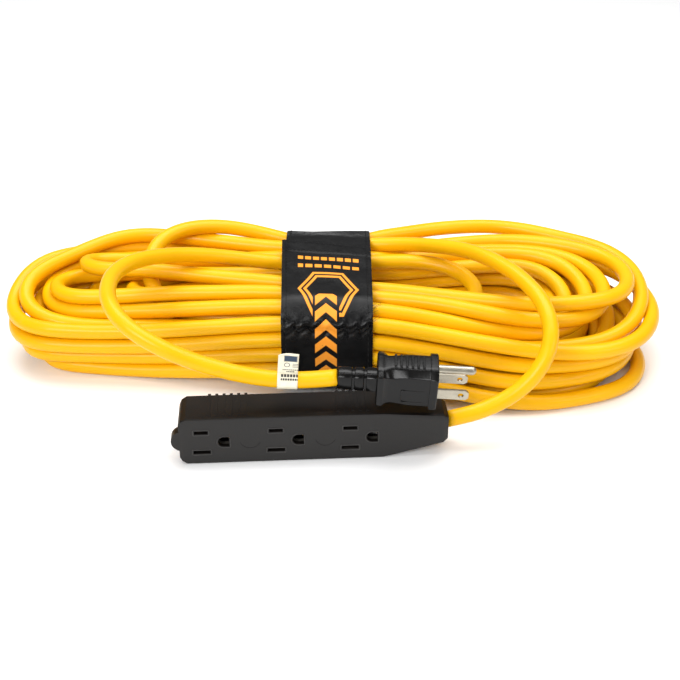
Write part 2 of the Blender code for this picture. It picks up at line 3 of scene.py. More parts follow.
import bmesh
import bpy
import numpy as np
from mathutils import Euler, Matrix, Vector


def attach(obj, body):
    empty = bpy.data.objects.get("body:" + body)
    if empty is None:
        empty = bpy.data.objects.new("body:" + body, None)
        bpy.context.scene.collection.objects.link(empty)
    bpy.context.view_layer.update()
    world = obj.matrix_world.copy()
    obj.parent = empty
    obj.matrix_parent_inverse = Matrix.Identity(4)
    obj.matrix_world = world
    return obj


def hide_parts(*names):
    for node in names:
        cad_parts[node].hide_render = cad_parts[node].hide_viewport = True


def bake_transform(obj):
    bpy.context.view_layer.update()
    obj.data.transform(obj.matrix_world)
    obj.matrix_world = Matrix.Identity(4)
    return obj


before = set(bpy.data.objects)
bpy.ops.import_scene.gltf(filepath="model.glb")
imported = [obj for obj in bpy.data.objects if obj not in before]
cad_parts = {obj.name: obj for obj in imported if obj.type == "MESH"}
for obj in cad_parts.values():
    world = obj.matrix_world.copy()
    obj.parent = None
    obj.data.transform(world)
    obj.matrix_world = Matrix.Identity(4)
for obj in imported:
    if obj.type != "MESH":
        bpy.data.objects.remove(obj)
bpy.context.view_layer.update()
mm = .001


def unit(rows):
    # each row divided by its own length
    return rows / np.maximum(np.linalg.norm(rows, axis=-1, keepdims=True), 1e-12)


def arcLengths(points):
    # running length along a line of points, starting at 0
    return np.concatenate([[0], np.cumsum(np.linalg.norm(np.diff(points, axis=0), axis=1))])


def resample(points, spacing):
    # the same line with evenly spaced points, straight between the old ones
    run = arcLengths(points)
    at = np.linspace(0, run[-1], max(int(round(run[-1] / spacing)), 2) + 1)
    return np.stack([np.interp(at, run, column) for column in points.T], axis=1)


def soften(values, reach):
    # a bell-shaped running mean along the rows; the ends are carried on straight so they stay put
    pad = 3 * reach
    window = np.exp(-.5 * (np.arange(-pad, pad + 1) / reach) ** 2)
    window /= window.sum()
    before = 2 * values[0] - values[pad:0:-1]
    after = 2 * values[-1] - values[-2:-pad - 2:-1]
    longer = np.concatenate([before, values, after])
    return np.stack([np.convolve(column, window, mode="valid") for column in longer.T], axis=1)


def gridQuads(rows, cols, closeRows=False, closeCols=False):
    # faces of a grid numbered row by row: a point, its neighbour in the next column, and the two
    # beyond them in the next row; a closed direction joins its last line to its first
    row, col = np.meshgrid(np.arange(rows - 1 + closeRows), np.arange(cols - 1 + closeCols), indexing="ij")
    nextRow, nextCol = (row + 1) % rows, (col + 1) % cols
    return np.stack([row * cols + col, row * cols + nextCol, nextRow * cols + nextCol,
                     nextRow * cols + col], axis=-1).reshape(-1, 4)


def circlesAlong(path, reach, side, up, sides):
    # around each path point, its reach times the cosine of an even angle sideways and the sine up
    angle = np.arange(sides) * 2 * math.pi / sides
    across = np.cos(angle)[None, :, None] * side[:, None, :] + np.sin(angle)[None, :, None] * up[:, None, :]
    return (path[:, None, :] + np.broadcast_to(reach, len(path))[:, None, None] * across).reshape(-1, 3)


def meshPiece(name, vertices, faces, uv=None):
    # a smooth mesh object at the origin, its place in its vertices; uv has one row per face corner
    mesh = bpy.data.meshes.new(name)
    mesh.from_pydata(vertices.tolist(), [], faces.tolist() if isinstance(faces, np.ndarray) else faces)
    mesh.shade_smooth()
    if uv is not None:
        layer = mesh.uv_layers.new(name="UVMap")
        layer.data.foreach_set("uv", np.asarray(uv, np.float32).ravel())
    mesh.update()
    piece = bpy.data.objects.new(name, mesh)
    bpy.context.scene.collection.objects.link(piece)
    return piece


def dressPiece(piece, finish, standsFor=(), body="cord_set"):
    # gives a piece its finish, the CAD nodes it stands for and the body it rides on
    piece.data.materials.append(finish)
    if standsFor:
        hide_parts(*standsFor)
    if body:
        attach(piece, body)
    return piece


def mendShape(piece, merge=0.):
    # turns the faces outwards; a merge distance first joins doubled points and closes open ends
    shape = bmesh.new()
    shape.from_mesh(piece.data)
    if merge:
        bmesh.ops.remove_doubles(shape, verts=shape.verts, dist=merge)
        bmesh.ops.holes_fill(shape, edges=shape.edges, sides=8)
    bmesh.ops.recalc_face_normals(shape, faces=shape.faces)
    shape.to_mesh(piece.data)
    shape.free()


def tubeMesh(name, path, radius, sides):
    # a round tube: at each path point a circle of the radius in the plane across the path,
    # measured from the level sideways direction, and a flat fan closing each end
    side = unit(np.cross(unit(np.gradient(path, axis=0)), [0, 0, 1]))
    up = np.cross(side, unit(np.gradient(path, axis=0)))
    count = len(path)
    vertices = np.concatenate([circlesAlong(path, radius, side, up, sides), path[:1], path[-1:]])
    quads = gridQuads(count, sides, closeCols=True)[:, ::-1]
    around = np.arange(sides)
    after = (around + 1) % sides
    endBase = (count - 1) * sides
    startFan = np.stack([np.full(sides, count * sides), around, after], axis=1)
    endFan = np.stack([np.full(sides, count * sides + 1), endBase + after, endBase + around], axis=1)
    # the flat coordinate: metres along the tube, and the share of the way round it
    run = arcLengths(path)
    row, col = np.meshgrid(np.arange(count - 1), around, indexing="ij")
    u = np.stack([run[row], run[row], run[row + 1], run[row + 1]], axis=-1).reshape(-1, 4)[:, ::-1]
    v = np.stack([col, col + 1, col + 1, col], axis=-1).reshape(-1, 4)[:, ::-1] / sides
    fanUv = np.zeros((sides * 3 * 2, 2))
    fanUv[sides * 3:, 0] = run[-1]
    uv = np.concatenate([np.stack([u, v], axis=-1).reshape(-1, 2), fanUv])
    return meshPiece(name, vertices, quads.tolist() + startFan.tolist() + endFan.tolist(), uv)


cameraSpec = {"place": (.0035, -.63187, .391), "downTilt": 30.5, "lens": 63.53}
cameraData = bpy.data.cameras.new("camera")
cameraData.lens = cameraSpec["lens"]
cameraData.sensor_width = 36
camera = bpy.data.objects.new("camera", cameraData)
bpy.context.scene.collection.objects.link(camera)
camera.location = cameraSpec["place"]
camera.rotation_euler = (math.radians(90 - cameraSpec["downTilt"]), 0, 0)
bpy.context.scene.camera = camera
print("camera placed")


cordSpec = {
    "length": 15.24,         # 50 ft, metres
    "radius": 4.6 * mm,
    "ringSpacing": 4.5 * mm,
    "sides": 24,
    "workSpacing": 6 * mm,   # spacing of points while the turns settle
    "settleSteps": 260,
    "shift": (3.5 * mm, 1.13 * mm, 0),   # the hank's own zero, seen from the part's
    "clear": .1 * mm,        # gap the settling aims at between two passes
    "near": 19 * mm,         # pairs of points further apart than this are left out
    "sameRun": 30 * mm,      # points this close along the cord don't push each other
    "freeEnd": .30,          # length at each end that the strap doesn't hold
    "underStrap": (-31.5 * mm, 22.5 * mm),    # where the strap holds the bundle: along X,
    "strapDepth": (-32.8 * mm, 67 * mm),      # from front to back
    "strapHeight": (6.6 * mm, 52.4 * mm),     # and up
}

# Front passes from the floor up, in mm: depth and height at each station along X.
frontStations = (-165, -120, -36, -8, 20, 64, 108, 155)
frontFace = {
    0: ((-6, 4.8), (-12, 4.8), (-33, 17), (-33.9, 19.8), (-34, 17), (-45, 10), (-53, 4.8), (-37, 4.8)),
    1: ((-9, 14), (-11, 14), (-31, 27), (-33.9, 29.1), (-33, 27), (-39, 20), (-46, 14.4), (-32, 14.4)),
    2: ((-15, 22.5), (-15.5, 22.5), (-28, 36), (-33.9, 38.4), (-31, 36.5), (-36, 30), (-42, 24), (-36, 24)),
    3: ((-13, 31.5), (-13, 31.5), (-24, 43), (-30.5, 47.2), (-28, 45.5), (-33, 40), (-40, 34), (-43, 34)),
    4: ((4, 35.5), (1, 36), (-12, 48), (-21.5, 51.6), (-19, 50.5), (-22, 43), (-28, 36), (-14, 35.5)),
    5: ((5, 44), (5, 44.5), (-3, 51.5), (-10, 52.4), (-9, 52), (-19, 49), (-29, 44), (-18, 43)),
    6: ((20, 51), (21, 51.5), (9, 53), (5, 52.4), (2, 52.6), (-9, 52), (-21, 51.5), (-17, 51)),
}
# Passes behind the face: (level, row behind) and their depth and height in mm under the strap.
frontHidden = {
    (0, 1): (-32.5, 10.5), (0, 2): (-24, 6.6), (0, 3): (-14.5, 6.6), (1, 1): (-24.5, 16),
    (1, 2): (-15, 16), (2, 1): (-24.5, 25.4), (2, 2): (-15, 25.4), (3, 1): (-24.5, 34.8),
    (3, 2): (-15, 34.8), (4, 1): (-13, 43.6), (2, 3): (-5.5, 25), (3, 3): (-5.5, 34.5),
    (1, 3): (-5.5, 15.7),
}
backStations = (155, 108, 64, 20, -8, -36, -64, -120, -165)
backFace = {
    0: ((46, 4.8), (78, 4.8), (76, 5), (67, 6), (65.9, 6.6), (65, 6), (66, 5), (60, 4.8), (34, 4.8)),
    1: ((50, 14.4), (83, 14.4), (79, 14.5), (67.5, 15.5), (65.9, 15.8), (66, 15), (69, 14.4), (66, 14.4),
        (40, 14.4)),
    2: ((54, 24), (86, 24), (81, 24), (68, 25), (65.9, 25), (66.5, 24.6), (71, 24), (69, 24), (44, 23.8)),
    3: ((57, 33.6), (88, 34), (83, 34), (68, 34.2), (65.9, 34.2), (67, 34), (72, 33.6), (70, 33.4), (49, 33)),
    4: ((52, 50), (73, 49.5), (74, 46), (66.5, 43.6), (65.9, 43.2), (66, 43.2), (68, 43), (68, 43), (54, 42.5)),
    5: ((66, 49.5), (96, 50.5), (90, 52), (73, 52.6), (65.7, 52.4), (69, 54), (75, 60), (44, 64), (30, 50)),
}
topPasses = {   # the three that lie on top of the back bundle, under the strap
    "tapPass": (56.2, 52.4), "upper": (46.8, 52.4), "plugPass": (37.4, 52.4),
}
# The winding, from the tap to the plug. Each row: front pass, its right tip (x, y lean, z), the
# back pass that follows, and that pass's left tip (x, y lean, z), all in mm.
winding = (
    ((3, 1), (186.5, 0, 45), (5, 0), None),
    ((3, 2), (141, 0, 40), (4, 2), (-180, 0, 44)),
    ((5, 0), (163.5, 0, 46), (4, 1), (-183.5, 0, 36)),
    ((4, 0), (152.5, 0, 42), "upper", (-174, 0, 51)),
    ((6, 0), (177, 0, 50), (4, 0), (-200.5, -2, 31)),
    ((3, 0), (191.5, 3, 34.5), (3, 0), (-200, -6, 21.5)),
    ((2, 0), (183, 0, 24), (2, 0), (-197, -8, 12.5)),
    ((1, 0), (179, 0, 14.4), (1, 0), (-188, -8, 4.8)),
    ((0, 0), (186, 0, 4.8), (0, 0), (-168, 0, 4.8)),
    ((0, 1), (170, 0, 4.8), (0, 1), (-150, 0, 5)),
    ((0, 2), (158, 0, 8), (1, 1), (-182, -4, 15)),
    ((1, 1), (161, 0, 18), (2, 1), (-188, -3, 27)),
    ((2, 1), (168, 0, 28), (3, 1), (-160, 0, 27)),
    ((2, 3), (146, 0, 30), (3, 2), (-142, 0, 34)),
    ((3, 3), (134, 0, 34), (3, 3), (-130, 0, 27)),
    ((2, 2), (152, 0, 24), (2, 2), (-158, 0, 20)),
    ((1, 2), (148, 0, 15), (1, 2), (-142, 0, 14)),
    ((1, 3), (136, 0, 18), (2, 3), (-130, 0, 14)),
    ((0, 3), (145, 0, 6), (0, 2), (-136, 0, 24)),
)
lastFront = (4, 1)
raisedLoop = (   # the pass that stands up at the far left before it dives into the hank
    (-36, 69, 54), (-57, 74, 59), (-75, 70.5, 63.5), (-89, 64, 66.5), (-103, 59, 67),
    (-113, 52, 65.5), (-119, 42, 62.5), (-121, 30, 57.5), (-119, 17, 50), (-112, 4, 42.5),
    (-98, -3, 38.5), (-78, -8, 37),
)
turnBack = (   # a small turn right of the strap, from the last front pass up to the plug's own pass
    (20, -16, 43.5), (42, -20, 42.5), (62, -19, 42), (78, -11, 42.5), (86, 3, 44), (85, 17, 47),
    (76, 29, 50.5), (60, 37, 52.5), (42, 39.5, 53), (20, 38, 52.6),
)
tapRun = (   # from the tap's cord entry, round the right, to the strap
    (58.7, -83.5, 16.5), (70, -82.6, 17), (83.1, -79.6, 20), (102.4, -74.7, 30), (114.1, -72.6, 45),
    (119.7, -64, 59), (115.1, -41.3, 68.5), (103.8, -17.6, 72), (92, .3, 72), (78.5, 19, 70),
    (50.4, 44, 60.5), (20.8, 57, 53.4),
)
tapPassLeft = (   # the same pass from the strap to the far left
    (-36, 52, 52.6), (-60, 59, 53), (-85, 64, 53), (-106, 68.5, 52.5), (-130, 71.5, 52), (-152, 61, 51.5),
    (-171, 44, 49),
)
plugRun = (   # from the strap, over the left end, to the plug's cord entry
    (-37.5, 37, 52.4), (-60.6, 32.3, 58), (-83.2, 21.7, 66), (-103.6, 8.6, 72.5), (-120.3, -8, 77.5),
    (-129.2, -26.9, 80), (-129.7, -50.7, 80.5), (-124.1, -71.7, 79), (-115.7, -82.8, 75.5),
    (-104.9, -87.9, 70.5), (-91.9, -90.3, 64), (-79.6, -90.2, 58), (-66.7, -88.8, 52.5),
    (-54.1, -88.5, 48.5), (-35.6, -86.9, 44), (-21.6, -86.1, 42.5), (-1.5, -86.45, 45.7),
)


def frontLine(slot, x):
    # depth and height of a front pass at x, straight between stations; a hidden pass steps back by a
    # row's pitch for each row, and under the strap it has its own place
    level, behind = slot
    face = np.array(frontFace[level], float)
    if behind:
        pitch = np.array([9.4, 9.4, 9.4, 0, 9.4, 10, 10.5, 10.5])
        face = face + np.stack([pitch * (behind - .15), np.zeros(8)], axis=1)
        face[:, 1] = np.minimum(face[:, 1], 44)
        face[0, 0], face[7, 0] = face[1, 0] + 1, face[6, 0] + 2   # inner turns keep their width to the bend
        face[3] = frontHidden[slot]
        face[2] = .6 * face[2] + .4 * face[3]
        face[4] = .6 * face[4] + .4 * face[3]
    stations = np.array(frontStations, float)
    return np.stack([np.interp(x, stations, face[:, k]) for k in (0, 1)], axis=-1)


def backLine(slot, x):
    # the same for a back pass, whose hidden rows step forwards; a named slot lies on top
    if isinstance(slot, str):
        face = np.array(backFace[4], float)
        pitch = np.array([-3, -21, -18, -19, 0, -18, -17, -20, -4])
        face = face + np.stack([pitch, np.zeros(9)], axis=1)
        face[3:6, 1] = 52.4
        face[4] = topPasses[slot]
    else:
        level, behind = slot
        face = np.array(backFace[level], float)
        pitch = np.array([-11, -11, -10, -9.4, -9.4, -9.4, -9.4, -9.6, -9.6])
        face = face + np.stack([pitch * behind, np.zeros(9)], axis=1)
        if behind:
            face[0, 0], face[8, 0] = face[1, 0] - 2, face[7, 0] - 1
    stations = np.array(backStations, float)[::-1]
    return np.stack([np.interp(x, stations, face[::-1, k]) for k in (0, 1)], axis=-1)


def tipStart(tipX, frontSlot, backSlot, sign):
    # where a pass starts its end bend: .86 of half the width between the two passes before the tip
    startX = tipX - sign * 25
    for again in range(6):
        half = abs(backLine(backSlot, startX)[0] - frontLine(frontSlot, startX)[0]) / 2
        startX = tipX - sign * max(.86 * half, 17)
    return startX


def tipBend(start, end, tip):
    # half an ellipse from the start round the tip to the end: x follows a sine, y a cosine, and z
    # goes from one height to the other over the tip's own height
    angle = np.radians([22, 45, 68, 90, 112, 135, 158])
    middleY, halfY = (start[1] + end[1]) / 2, (end[1] - start[1]) / 2
    baseX = start[0] + (end[0] - start[0]) * (1 - np.cos(angle)) / 2
    x = baseX + (tip[0] - baseX) * np.sin(angle) ** .9
    y = middleY - halfY * np.cos(angle) + tip[1] * np.sin(angle)
    share = (1 - np.cos(angle)) / 2
    z = start[2] + (end[2] - start[2]) * share
    z = z + (tip[2] - (start[2] + end[2]) / 2) * np.sin(angle) ** 2
    return np.stack([x, y, z], axis=1)


def passPoints(line, slot, fromX, toX):
    # eleven evenly spaced points of one pass
    x = np.linspace(fromX, toX, 11)
    return np.concatenate([x[:, None], line(slot, x)], axis=1)


def windHank():
    # the whole cord as one line of points, run after run, with how freely each may move in settling
    parts, freedom = [], []

    def add(points, free):
        parts.append(np.asarray(points, float))
        freedom.append(np.full(len(points), float(free)))

    add(tapRun, .05)
    add([(-8, *topPasses["tapPass"])], .3)
    add(tapPassLeft, .3)
    nextStart = None
    for index, (front, rightTip, back, leftTip) in enumerate(winding):
        if index == 0:      # the tap's pass comes round the far left into the first front pass
            frontStart = -160
            entry = np.array([frontStart, *frontLine(front, frontStart)])
            add(tipBend(np.array(tapPassLeft[-1]), entry, (-198, 0, 40))[1:], .3)
        elif nextStart is None:   # the raised loop has already come down to here
            frontStart = -55
        else:
            frontStart = nextStart
        rightStart = tipStart(rightTip[0], front, back, 1)
        shown = front[1] == 0
        add(passPoints(frontLine, front, frontStart, rightStart), .25 if shown else 1)
        start = np.array([rightStart, *frontLine(front, rightStart)])
        end = np.array([rightStart, *backLine(back, rightStart)])
        add(tipBend(start, end, rightTip), .3 if shown or index == 0 else 1)
        if leftTip is None:
            add(passPoints(backLine, back, rightStart, -8), .3)
            add(raisedLoop, .2)
            nextStart = None
            continue
        following = winding[index + 1][0] if index + 1 < len(winding) else lastFront
        nextStart = tipStart(leftTip[0], following, back, -1)
        onBack = not isinstance(back, str) and back[1] == 0
        add(passPoints(backLine, back, rightStart, nextStart), .6 if onBack else 1)
        start = np.array([nextStart, *backLine(back, nextStart)])
        end = np.array([nextStart, *frontLine(following, nextStart)])
        add(tipBend(start, end, leftTip), .3 if following[1] == 0 else 1)
    add(passPoints(frontLine, lastFront, nextStart, -8), 1)
    add(turnBack, .5)
    add([(-8, *topPasses["plugPass"])], .3)
    add(plugRun, .05)
    points = np.concatenate(parts)
    free = np.concatenate(freedom)
    # double points at joins would make the line stop
    keep = np.concatenate([[True], np.linalg.norm(np.diff(points, axis=0), axis=1) > 1.5])
    return points[keep] * mm, free[keep]


def settle(points, free, spacing, bound):
    # pushes passes apart wherever two lie closer than a cord's thickness: the shortfall along the
    # line between them, shared by how freely each moves, averaged per point and spread along the
    # cord so that no kink forms; the floor and the strap hold the bundle
    p = cordSpec
    diameter = 2 * p["radius"] + p["clear"]
    count = len(points)
    place = points.copy()
    ends = np.minimum(np.arange(count), np.arange(count)[::-1])
    hold = np.clip((ends * spacing - .012) / .05, 0, 1)
    mobility = (soften(free[:, None], 4)[:, 0].clip(.02, 1) * hold)[:, None]
    for step in range(p["settleSteps"]):
        if step % 10 == 0:
            near = []
            for low in range(0, count, 500):
                block = place[low:low + 500]
                gap = np.linalg.norm(block[:, None, :] - place[None, :, :], axis=2)
                i, j = np.nonzero(gap < p["near"])
                i = i + low
                far = np.abs(i - j) * spacing > p["sameRun"]
                near.append(np.stack([i[far], j[far]], axis=1))
            pairs = np.concatenate(near)
        i, j = pairs[:, 0], pairs[:, 1]
        tangent = unit(np.gradient(place, axis=0))
        gap = place[i] - place[j]
        along = np.clip((gap * tangent[j]).sum(1), -spacing * .6, spacing * .6)
        gap = gap - along[:, None] * tangent[j]
        distance = np.linalg.norm(gap, axis=1)
        short = np.clip(diameter - distance, 0, None)
        push = gap / np.maximum(distance, 1e-6)[:, None] * short[:, None]
        share = mobility[i, 0] / (mobility[i, 0] + mobility[j, 0] + 1e-6)
        total = np.zeros((count, 3))
        weight = np.bincount(i, weights=(short > 0).astype(float), minlength=count)
        for k in range(3):
            total[:, k] = np.bincount(i, weights=push[:, k] * share, minlength=count)
        total /= np.maximum(weight, 1)[:, None]
        move = 1.6 * soften(total, 2) * np.minimum(1, mobility * 20)
        place = place + move
        if step % 20 == 19 and step < p["settleSteps"] - 30:   # now and then kinks are eased out
            place = points + soften(place - points, 3)
            bend = np.linalg.norm(place[6:] - 2 * place[3:-3] + place[:-6], axis=1) / (3 * spacing) ** 2
            sharp = np.zeros(count)
            sharp[3:-3] = np.clip((bend - 45) / 25, 0, 1)
            ease = soften(sharp[:, None], 4).clip(0, 1) * 1.5
            place = place + ease * (soften(place, 3) - place) * hold[:, None]
        place[:, 2] = np.maximum(place[:, 2], p["radius"])
        inside = bound & (place[:, 0] > p["underStrap"][0]) & (place[:, 0] < p["underStrap"][1])
        place[inside, 1] = place[inside, 1].clip(*p["strapDepth"])
        place[inside, 2] = place[inside, 2].clip(*p["strapHeight"])
    return place


rawPoints, rawFree = windHank()
rawPoints = rawPoints + np.array(cordSpec["shift"])
rawRun = arcLengths(rawPoints)
dense = soften(resample(rawPoints, 3 * mm), 4)
work = resample(dense, cordSpec["workSpacing"])
workRun = arcLengths(work)
workFree = np.interp(workRun / workRun[-1], rawRun / rawRun[-1], rawFree)
bound = (workRun > cordSpec["freeEnd"]) & (workRun < workRun[-1] - cordSpec["freeEnd"])
settled = settle(work, workFree, cordSpec["workSpacing"], bound)
cordPath = resample(soften(resample(settled, 1.5 * mm), 5), cordSpec["ringSpacing"])
print("cord wound:", round(arcLengths(cordPath)[-1], 3), "m")
cordPiece = tubeMesh("cord", cordPath, cordSpec["radius"], cordSpec["sides"])


# Finishes. A Field is something that changes over a surface; sums on Fields become Math nodes.

def addNode(tree, kind, inputs, output=0, **settings):
    # one shader node: settings are its choices, inputs its Fields or numbers by name or number
    made = tree.nodes.new("ShaderNode" + kind)
    for label, value in settings.items():
        setattr(made, label, value)
    for label, value in inputs.items():
        if isinstance(value, Field):
            tree.links.new(value.socket, made.inputs[label])
        else:
            made.inputs[label].default_value = value
    return Field(tree, made.outputs[output])


class Field:
    def __init__(self, tree, socket):
        self.tree, self.socket = tree, socket

    def math(self, operation, *values, **settings):
        return addNode(self.tree, "Math", dict(enumerate(values or (self,))), operation=operation, **settings)

    def __add__(self, other):
        return self.math("ADD", self, other)

    def __sub__(self, other):
        return self.math("SUBTRACT", self, other)

    def __rsub__(self, other):
        return self.math("SUBTRACT", other, self)

    def __mul__(self, other):
        return self.math("MULTIPLY", self, other)

    def __truediv__(self, other):
        return self.math("DIVIDE", self, other)

    def __rtruediv__(self, other):
        return self.math("DIVIDE", other, self)

    def __abs__(self):
        return self.math("ABSOLUTE")


def strongest(first, *others):
    # the greatest of several masks
    for other in others:
        first = first.math("MAXIMUM", first, other)
    return first


def weakest(first, second):
    # the smaller of two
    return first.math("MINIMUM", first, second)


def fraction(value):
    # what is left of a value above its whole number
    return value.math("FRACT")


def blend(share, first, second):
    # first at share 0, second at share 1; a plain colour has three numbers
    first, second = ((*value, 1) if isinstance(value, tuple) else value for value in (first, second))
    return addNode(share.tree, "Mix", {0: share, 6: first, 7: second}, 2, data_type="RGBA")


def noise(vector, scale, detail=3., stretch=None, roughness=.5):
    # a noise value; stretch multiplies the three directions first
    if stretch is not None:
        vector = addNode(vector.tree, "Mapping", {"Vector": vector, "Scale": stretch})
    return addNode(vector.tree, "TexNoise", {"Vector": vector, "Scale": scale, "Detail": detail,
                                             "Roughness": roughness})


def ramp(value, fromLow, fromHigh, toLow=0., toHigh=1.):
    # a straight ramp between two values, level outside them
    return addNode(value.tree, "MapRange", {"Value": value, "From Min": fromLow, "From Max": fromHigh,
                                            "To Min": toLow, "To Max": toHigh})


def splitVector(vector):
    # its three parts
    made = vector.tree.nodes.new("ShaderNodeSeparateXYZ")
    vector.tree.links.new(vector.socket, made.inputs[0])
    return [Field(vector.tree, output) for output in made.outputs]


def newGroup(name, inputs, outputs, build):
    # a shader group of a vector and named numbers; build turns those into the named outputs
    group = bpy.data.node_groups.new(name, "ShaderNodeTree")
    group.interface.new_socket("Vector", in_out="INPUT", socket_type="NodeSocketVector")
    for label, value in inputs.items():
        socket = group.interface.new_socket(label, in_out="INPUT", socket_type="NodeSocketFloat")
        socket.default_value = value
    for label in outputs:
        group.interface.new_socket(label, in_out="OUTPUT", socket_type="NodeSocketFloat")
    given, out = group.nodes.new("NodeGroupInput"), group.nodes.new("NodeGroupOutput")
    fields = build(*[Field(group, given.outputs[label]) for label in ("Vector", *inputs)])
    for label, field in zip(outputs, fields):
        group.links.new(field.socket, out.inputs[label])
    return group


def placeGroup(group, vector, **values):
    # the group's outputs by name, placed with its own values
    made = vector.tree.nodes.new("ShaderNodeGroup")
    made.node_tree = group
    vector.tree.links.new(vector.socket, made.inputs["Vector"])
    for label, value in values.items():
        made.inputs[label].default_value = value
    return {output.name: Field(vector.tree, output) for output in made.outputs}


def mouldedNodes(vector, scale, cloud):
    # spark-eroded mould texture: a fine pebble height, a slow tone, and a gloss that follows both
    fine, coarse = noise(vector, scale, 4.), noise(vector, cloud, 3.)
    return fine * .8 + coarse * .2, coarse, coarse * .6 + fine * .4


def scuffNodes(vector, amount):
    # handling marks: thin stretched streaks where slow noise lets them through, 0 to 1
    lengthways = ramp(noise(vector, 420., 2., stretch=(.12, 1, 1)), .66, .72)
    crossways = ramp(noise(vector, 420., 2., stretch=(1, .2, 1)), .68, .74)
    return (strongest(lengthways, crossways) * ramp(noise(vector, 38., 2.), .48, .62) * amount,)


def weaveNodes(vector, pitch):
    # plain weave from a flat coordinate in metres: the product of two sines of the pitch, and fuzz
    across, along, _ = splitVector(vector)
    turn = 2 * math.pi / pitch
    over = (across * turn).math("SINE") * (along * turn).math("SINE")
    return over * .5 + noise(vector, 2600., 3.), noise(vector, 70., 4.)


mouldedSkin = newGroup("mouldedSkin", {"Scale": 1500., "Cloud": 60.}, ("Height", "Tone", "Gloss"), mouldedNodes)
handlingScuffs = newGroup("handlingScuffs", {"Amount": .5}, ("Mask",), scuffNodes)
plainWeave = newGroup("plainWeave", {"Pitch": .9 * mm}, ("Height", "Tone"), weaveNodes)


def newFinish(name, **settings):
    # a material and its texture coordinates; settings are sockets of its Principled shader
    material = bpy.data.materials.new(name)
    material.use_nodes = True
    tree = material.node_tree
    for label, value in settings.items():
        tree.nodes["Principled BSDF"].inputs[label.replace("_", " ")].default_value = value
    coords = tree.nodes.new("ShaderNodeTexCoord")
    return material, {output.name: Field(tree, output) for output in coords.outputs}


def paint(material, colour, rough, height, strength, distance):
    # links a colour, a roughness and a bumped height to the material's shader
    tree = material.node_tree
    bump = addNode(tree, "Bump", {"Height": height, "Strength": strength, "Distance": distance})
    for label, value in (("Base Color", colour), ("Roughness", rough), ("Normal", bump)):
        tree.links.new(value.socket, tree.nodes["Principled BSDF"].inputs[label])
    return material


def makeMoulded(name, dark, light, rough, scuff=.5, grain=1500., depth=.5, specular=.2, frontLitPaintedTone=None):
    # matt moulded vinyl or plastic: two near tones, handling scuffs and a mould texture; a front tone,
    # if given, is painted light: sides that face the front are painted in that paler tone as if lit from the front
    material, coords = newFinish(name, Specular_IOR_Level=specular)
    skin = placeGroup(mouldedSkin, coords["Object"], Scale=grain)
    scuffs = placeGroup(handlingScuffs, coords["Object"], Amount=scuff)["Mask"]
    tone = blend(ramp(skin["Tone"], .35, .65), dark, light)
    # painted light: sides whose normal faces the front take the paler tone
    if frontLitPaintedTone is not None:
        tone = blend(ramp(splitVector(coords["Normal"])[1], -.6, -.85), tone, frontLitPaintedTone)
    worn = tuple(min(1, 2.2 * part + .012) for part in light)
    gloss = scuffs * .18 + ramp(skin["Gloss"], .3, .7, rough - .05, rough + .06)
    return paint(material, blend(scuffs, tone, worn), gloss, skin["Height"], depth, .1 * mm)


def makeMetal(name, colour, rough):
    # rolled or plated metal: drawn lines in the roughness and a slow tarnish
    material, coords = newFinish(name, Metallic=1.)
    lines = noise(coords["Object"], 220., 3., stretch=(1, 30, 30))
    tarnish = ramp(noise(coords["Object"], 120., 3.), .45, .75)
    return paint(material, blend(tarnish, colour, tuple(.72 * part for part in colour)),
                 ramp(lines, .3, .7, rough - .06, rough + .1), lines, .25, .05 * mm)


jacketSpec = {
    "tones": ((.83, .42, .0010), (.87, .47, .0013)), "rubbed": (.74, .40, .04),
    "lay": 72 * mm, "cores": 3,    # the cores' twist: length of one turn, and how many show
}


def makeJacket():
    # glossy yellow vinyl: the cores inside show as a faint helix, with dust and rub marks
    p = jacketSpec
    material, coords = newFinish("yellowVinylJacket", Specular_IOR_Level=.2, Coat_Weight=.07, Coat_Roughness=.13)
    skin = placeGroup(mouldedSkin, coords["Object"], Scale=700., Cloud=26.)
    scuffs = placeGroup(handlingScuffs, coords["Object"], Amount=.35)["Mask"]
    along, around, _ = splitVector(coords["UV"])
    helix = (along * (2 * math.pi / p["lay"]) + around * (2 * math.pi * p["cores"])).math("SINE")
    tone = blend(ramp(skin["Tone"], .3, .7), *p["tones"])
    gloss = scuffs * .2 + ramp(skin["Gloss"], .3, .7, .3, .42)
    height = helix * .5 + skin["Height"] * .16
    return paint(material, blend(scuffs, tone, p["rubbed"]), gloss, height, .55, .22 * mm)


cordPiece.data.materials.append(makeJacket())
# the tap's front face gets a painted front light, a paler tone than its top and sides
tapFinish = makeMoulded("tapVinyl", (.0045, .0035, .003), (.0075, .006, .005), .5, scuff=.55, specular=.16,
                        frontLitPaintedTone=(.026, .0248, .0240))
plugFinish = makeMoulded("plugVinyl", (.0016, .0015, .0015), (.0034, .0030, .0028), .21, scuff=.08,
                         specular=.26, depth=.25)
nickelFinish = makeMetal("nickelPlate", (.46, .425, .345), .30)
print("finishes made")


def shapeMask(along, across, centre, half, edge=.25 * mm):
    # 1 inside an upright rectangle in the flat coordinate, soft over the edge width
    inside = weakest(half[0] - abs(across - centre[0]), half[1] - abs(along - centre[1]))
    return ramp(inside, 0., edge)


# The strap: one strip of coated webbing, from its inner end under the tail, back over the bundle,
# down behind, under, up the front and over the top to the loose tail.

strapSpec = {
    "width": 52.8 * mm, "left": -30.4 * mm, "thickness": 1.2 * mm, "gap": .45 * mm,
    "innerEnd": -12 * mm, "root": -23.5 * mm, "tailEnd": 41.5 * mm, "tailSkew": -6 * mm,
    "lift": 2.6 * mm, "pitch": 1. * mm, "hem": 13 * mm,
    "frontLimit": -45 * mm,      # cords in front of this run outside the strap
    "lowest": 1.5 * mm,          # height of the strip's middle where it lies on the floor
    "step": .5 * mm,             # spacing of the outline's points
}


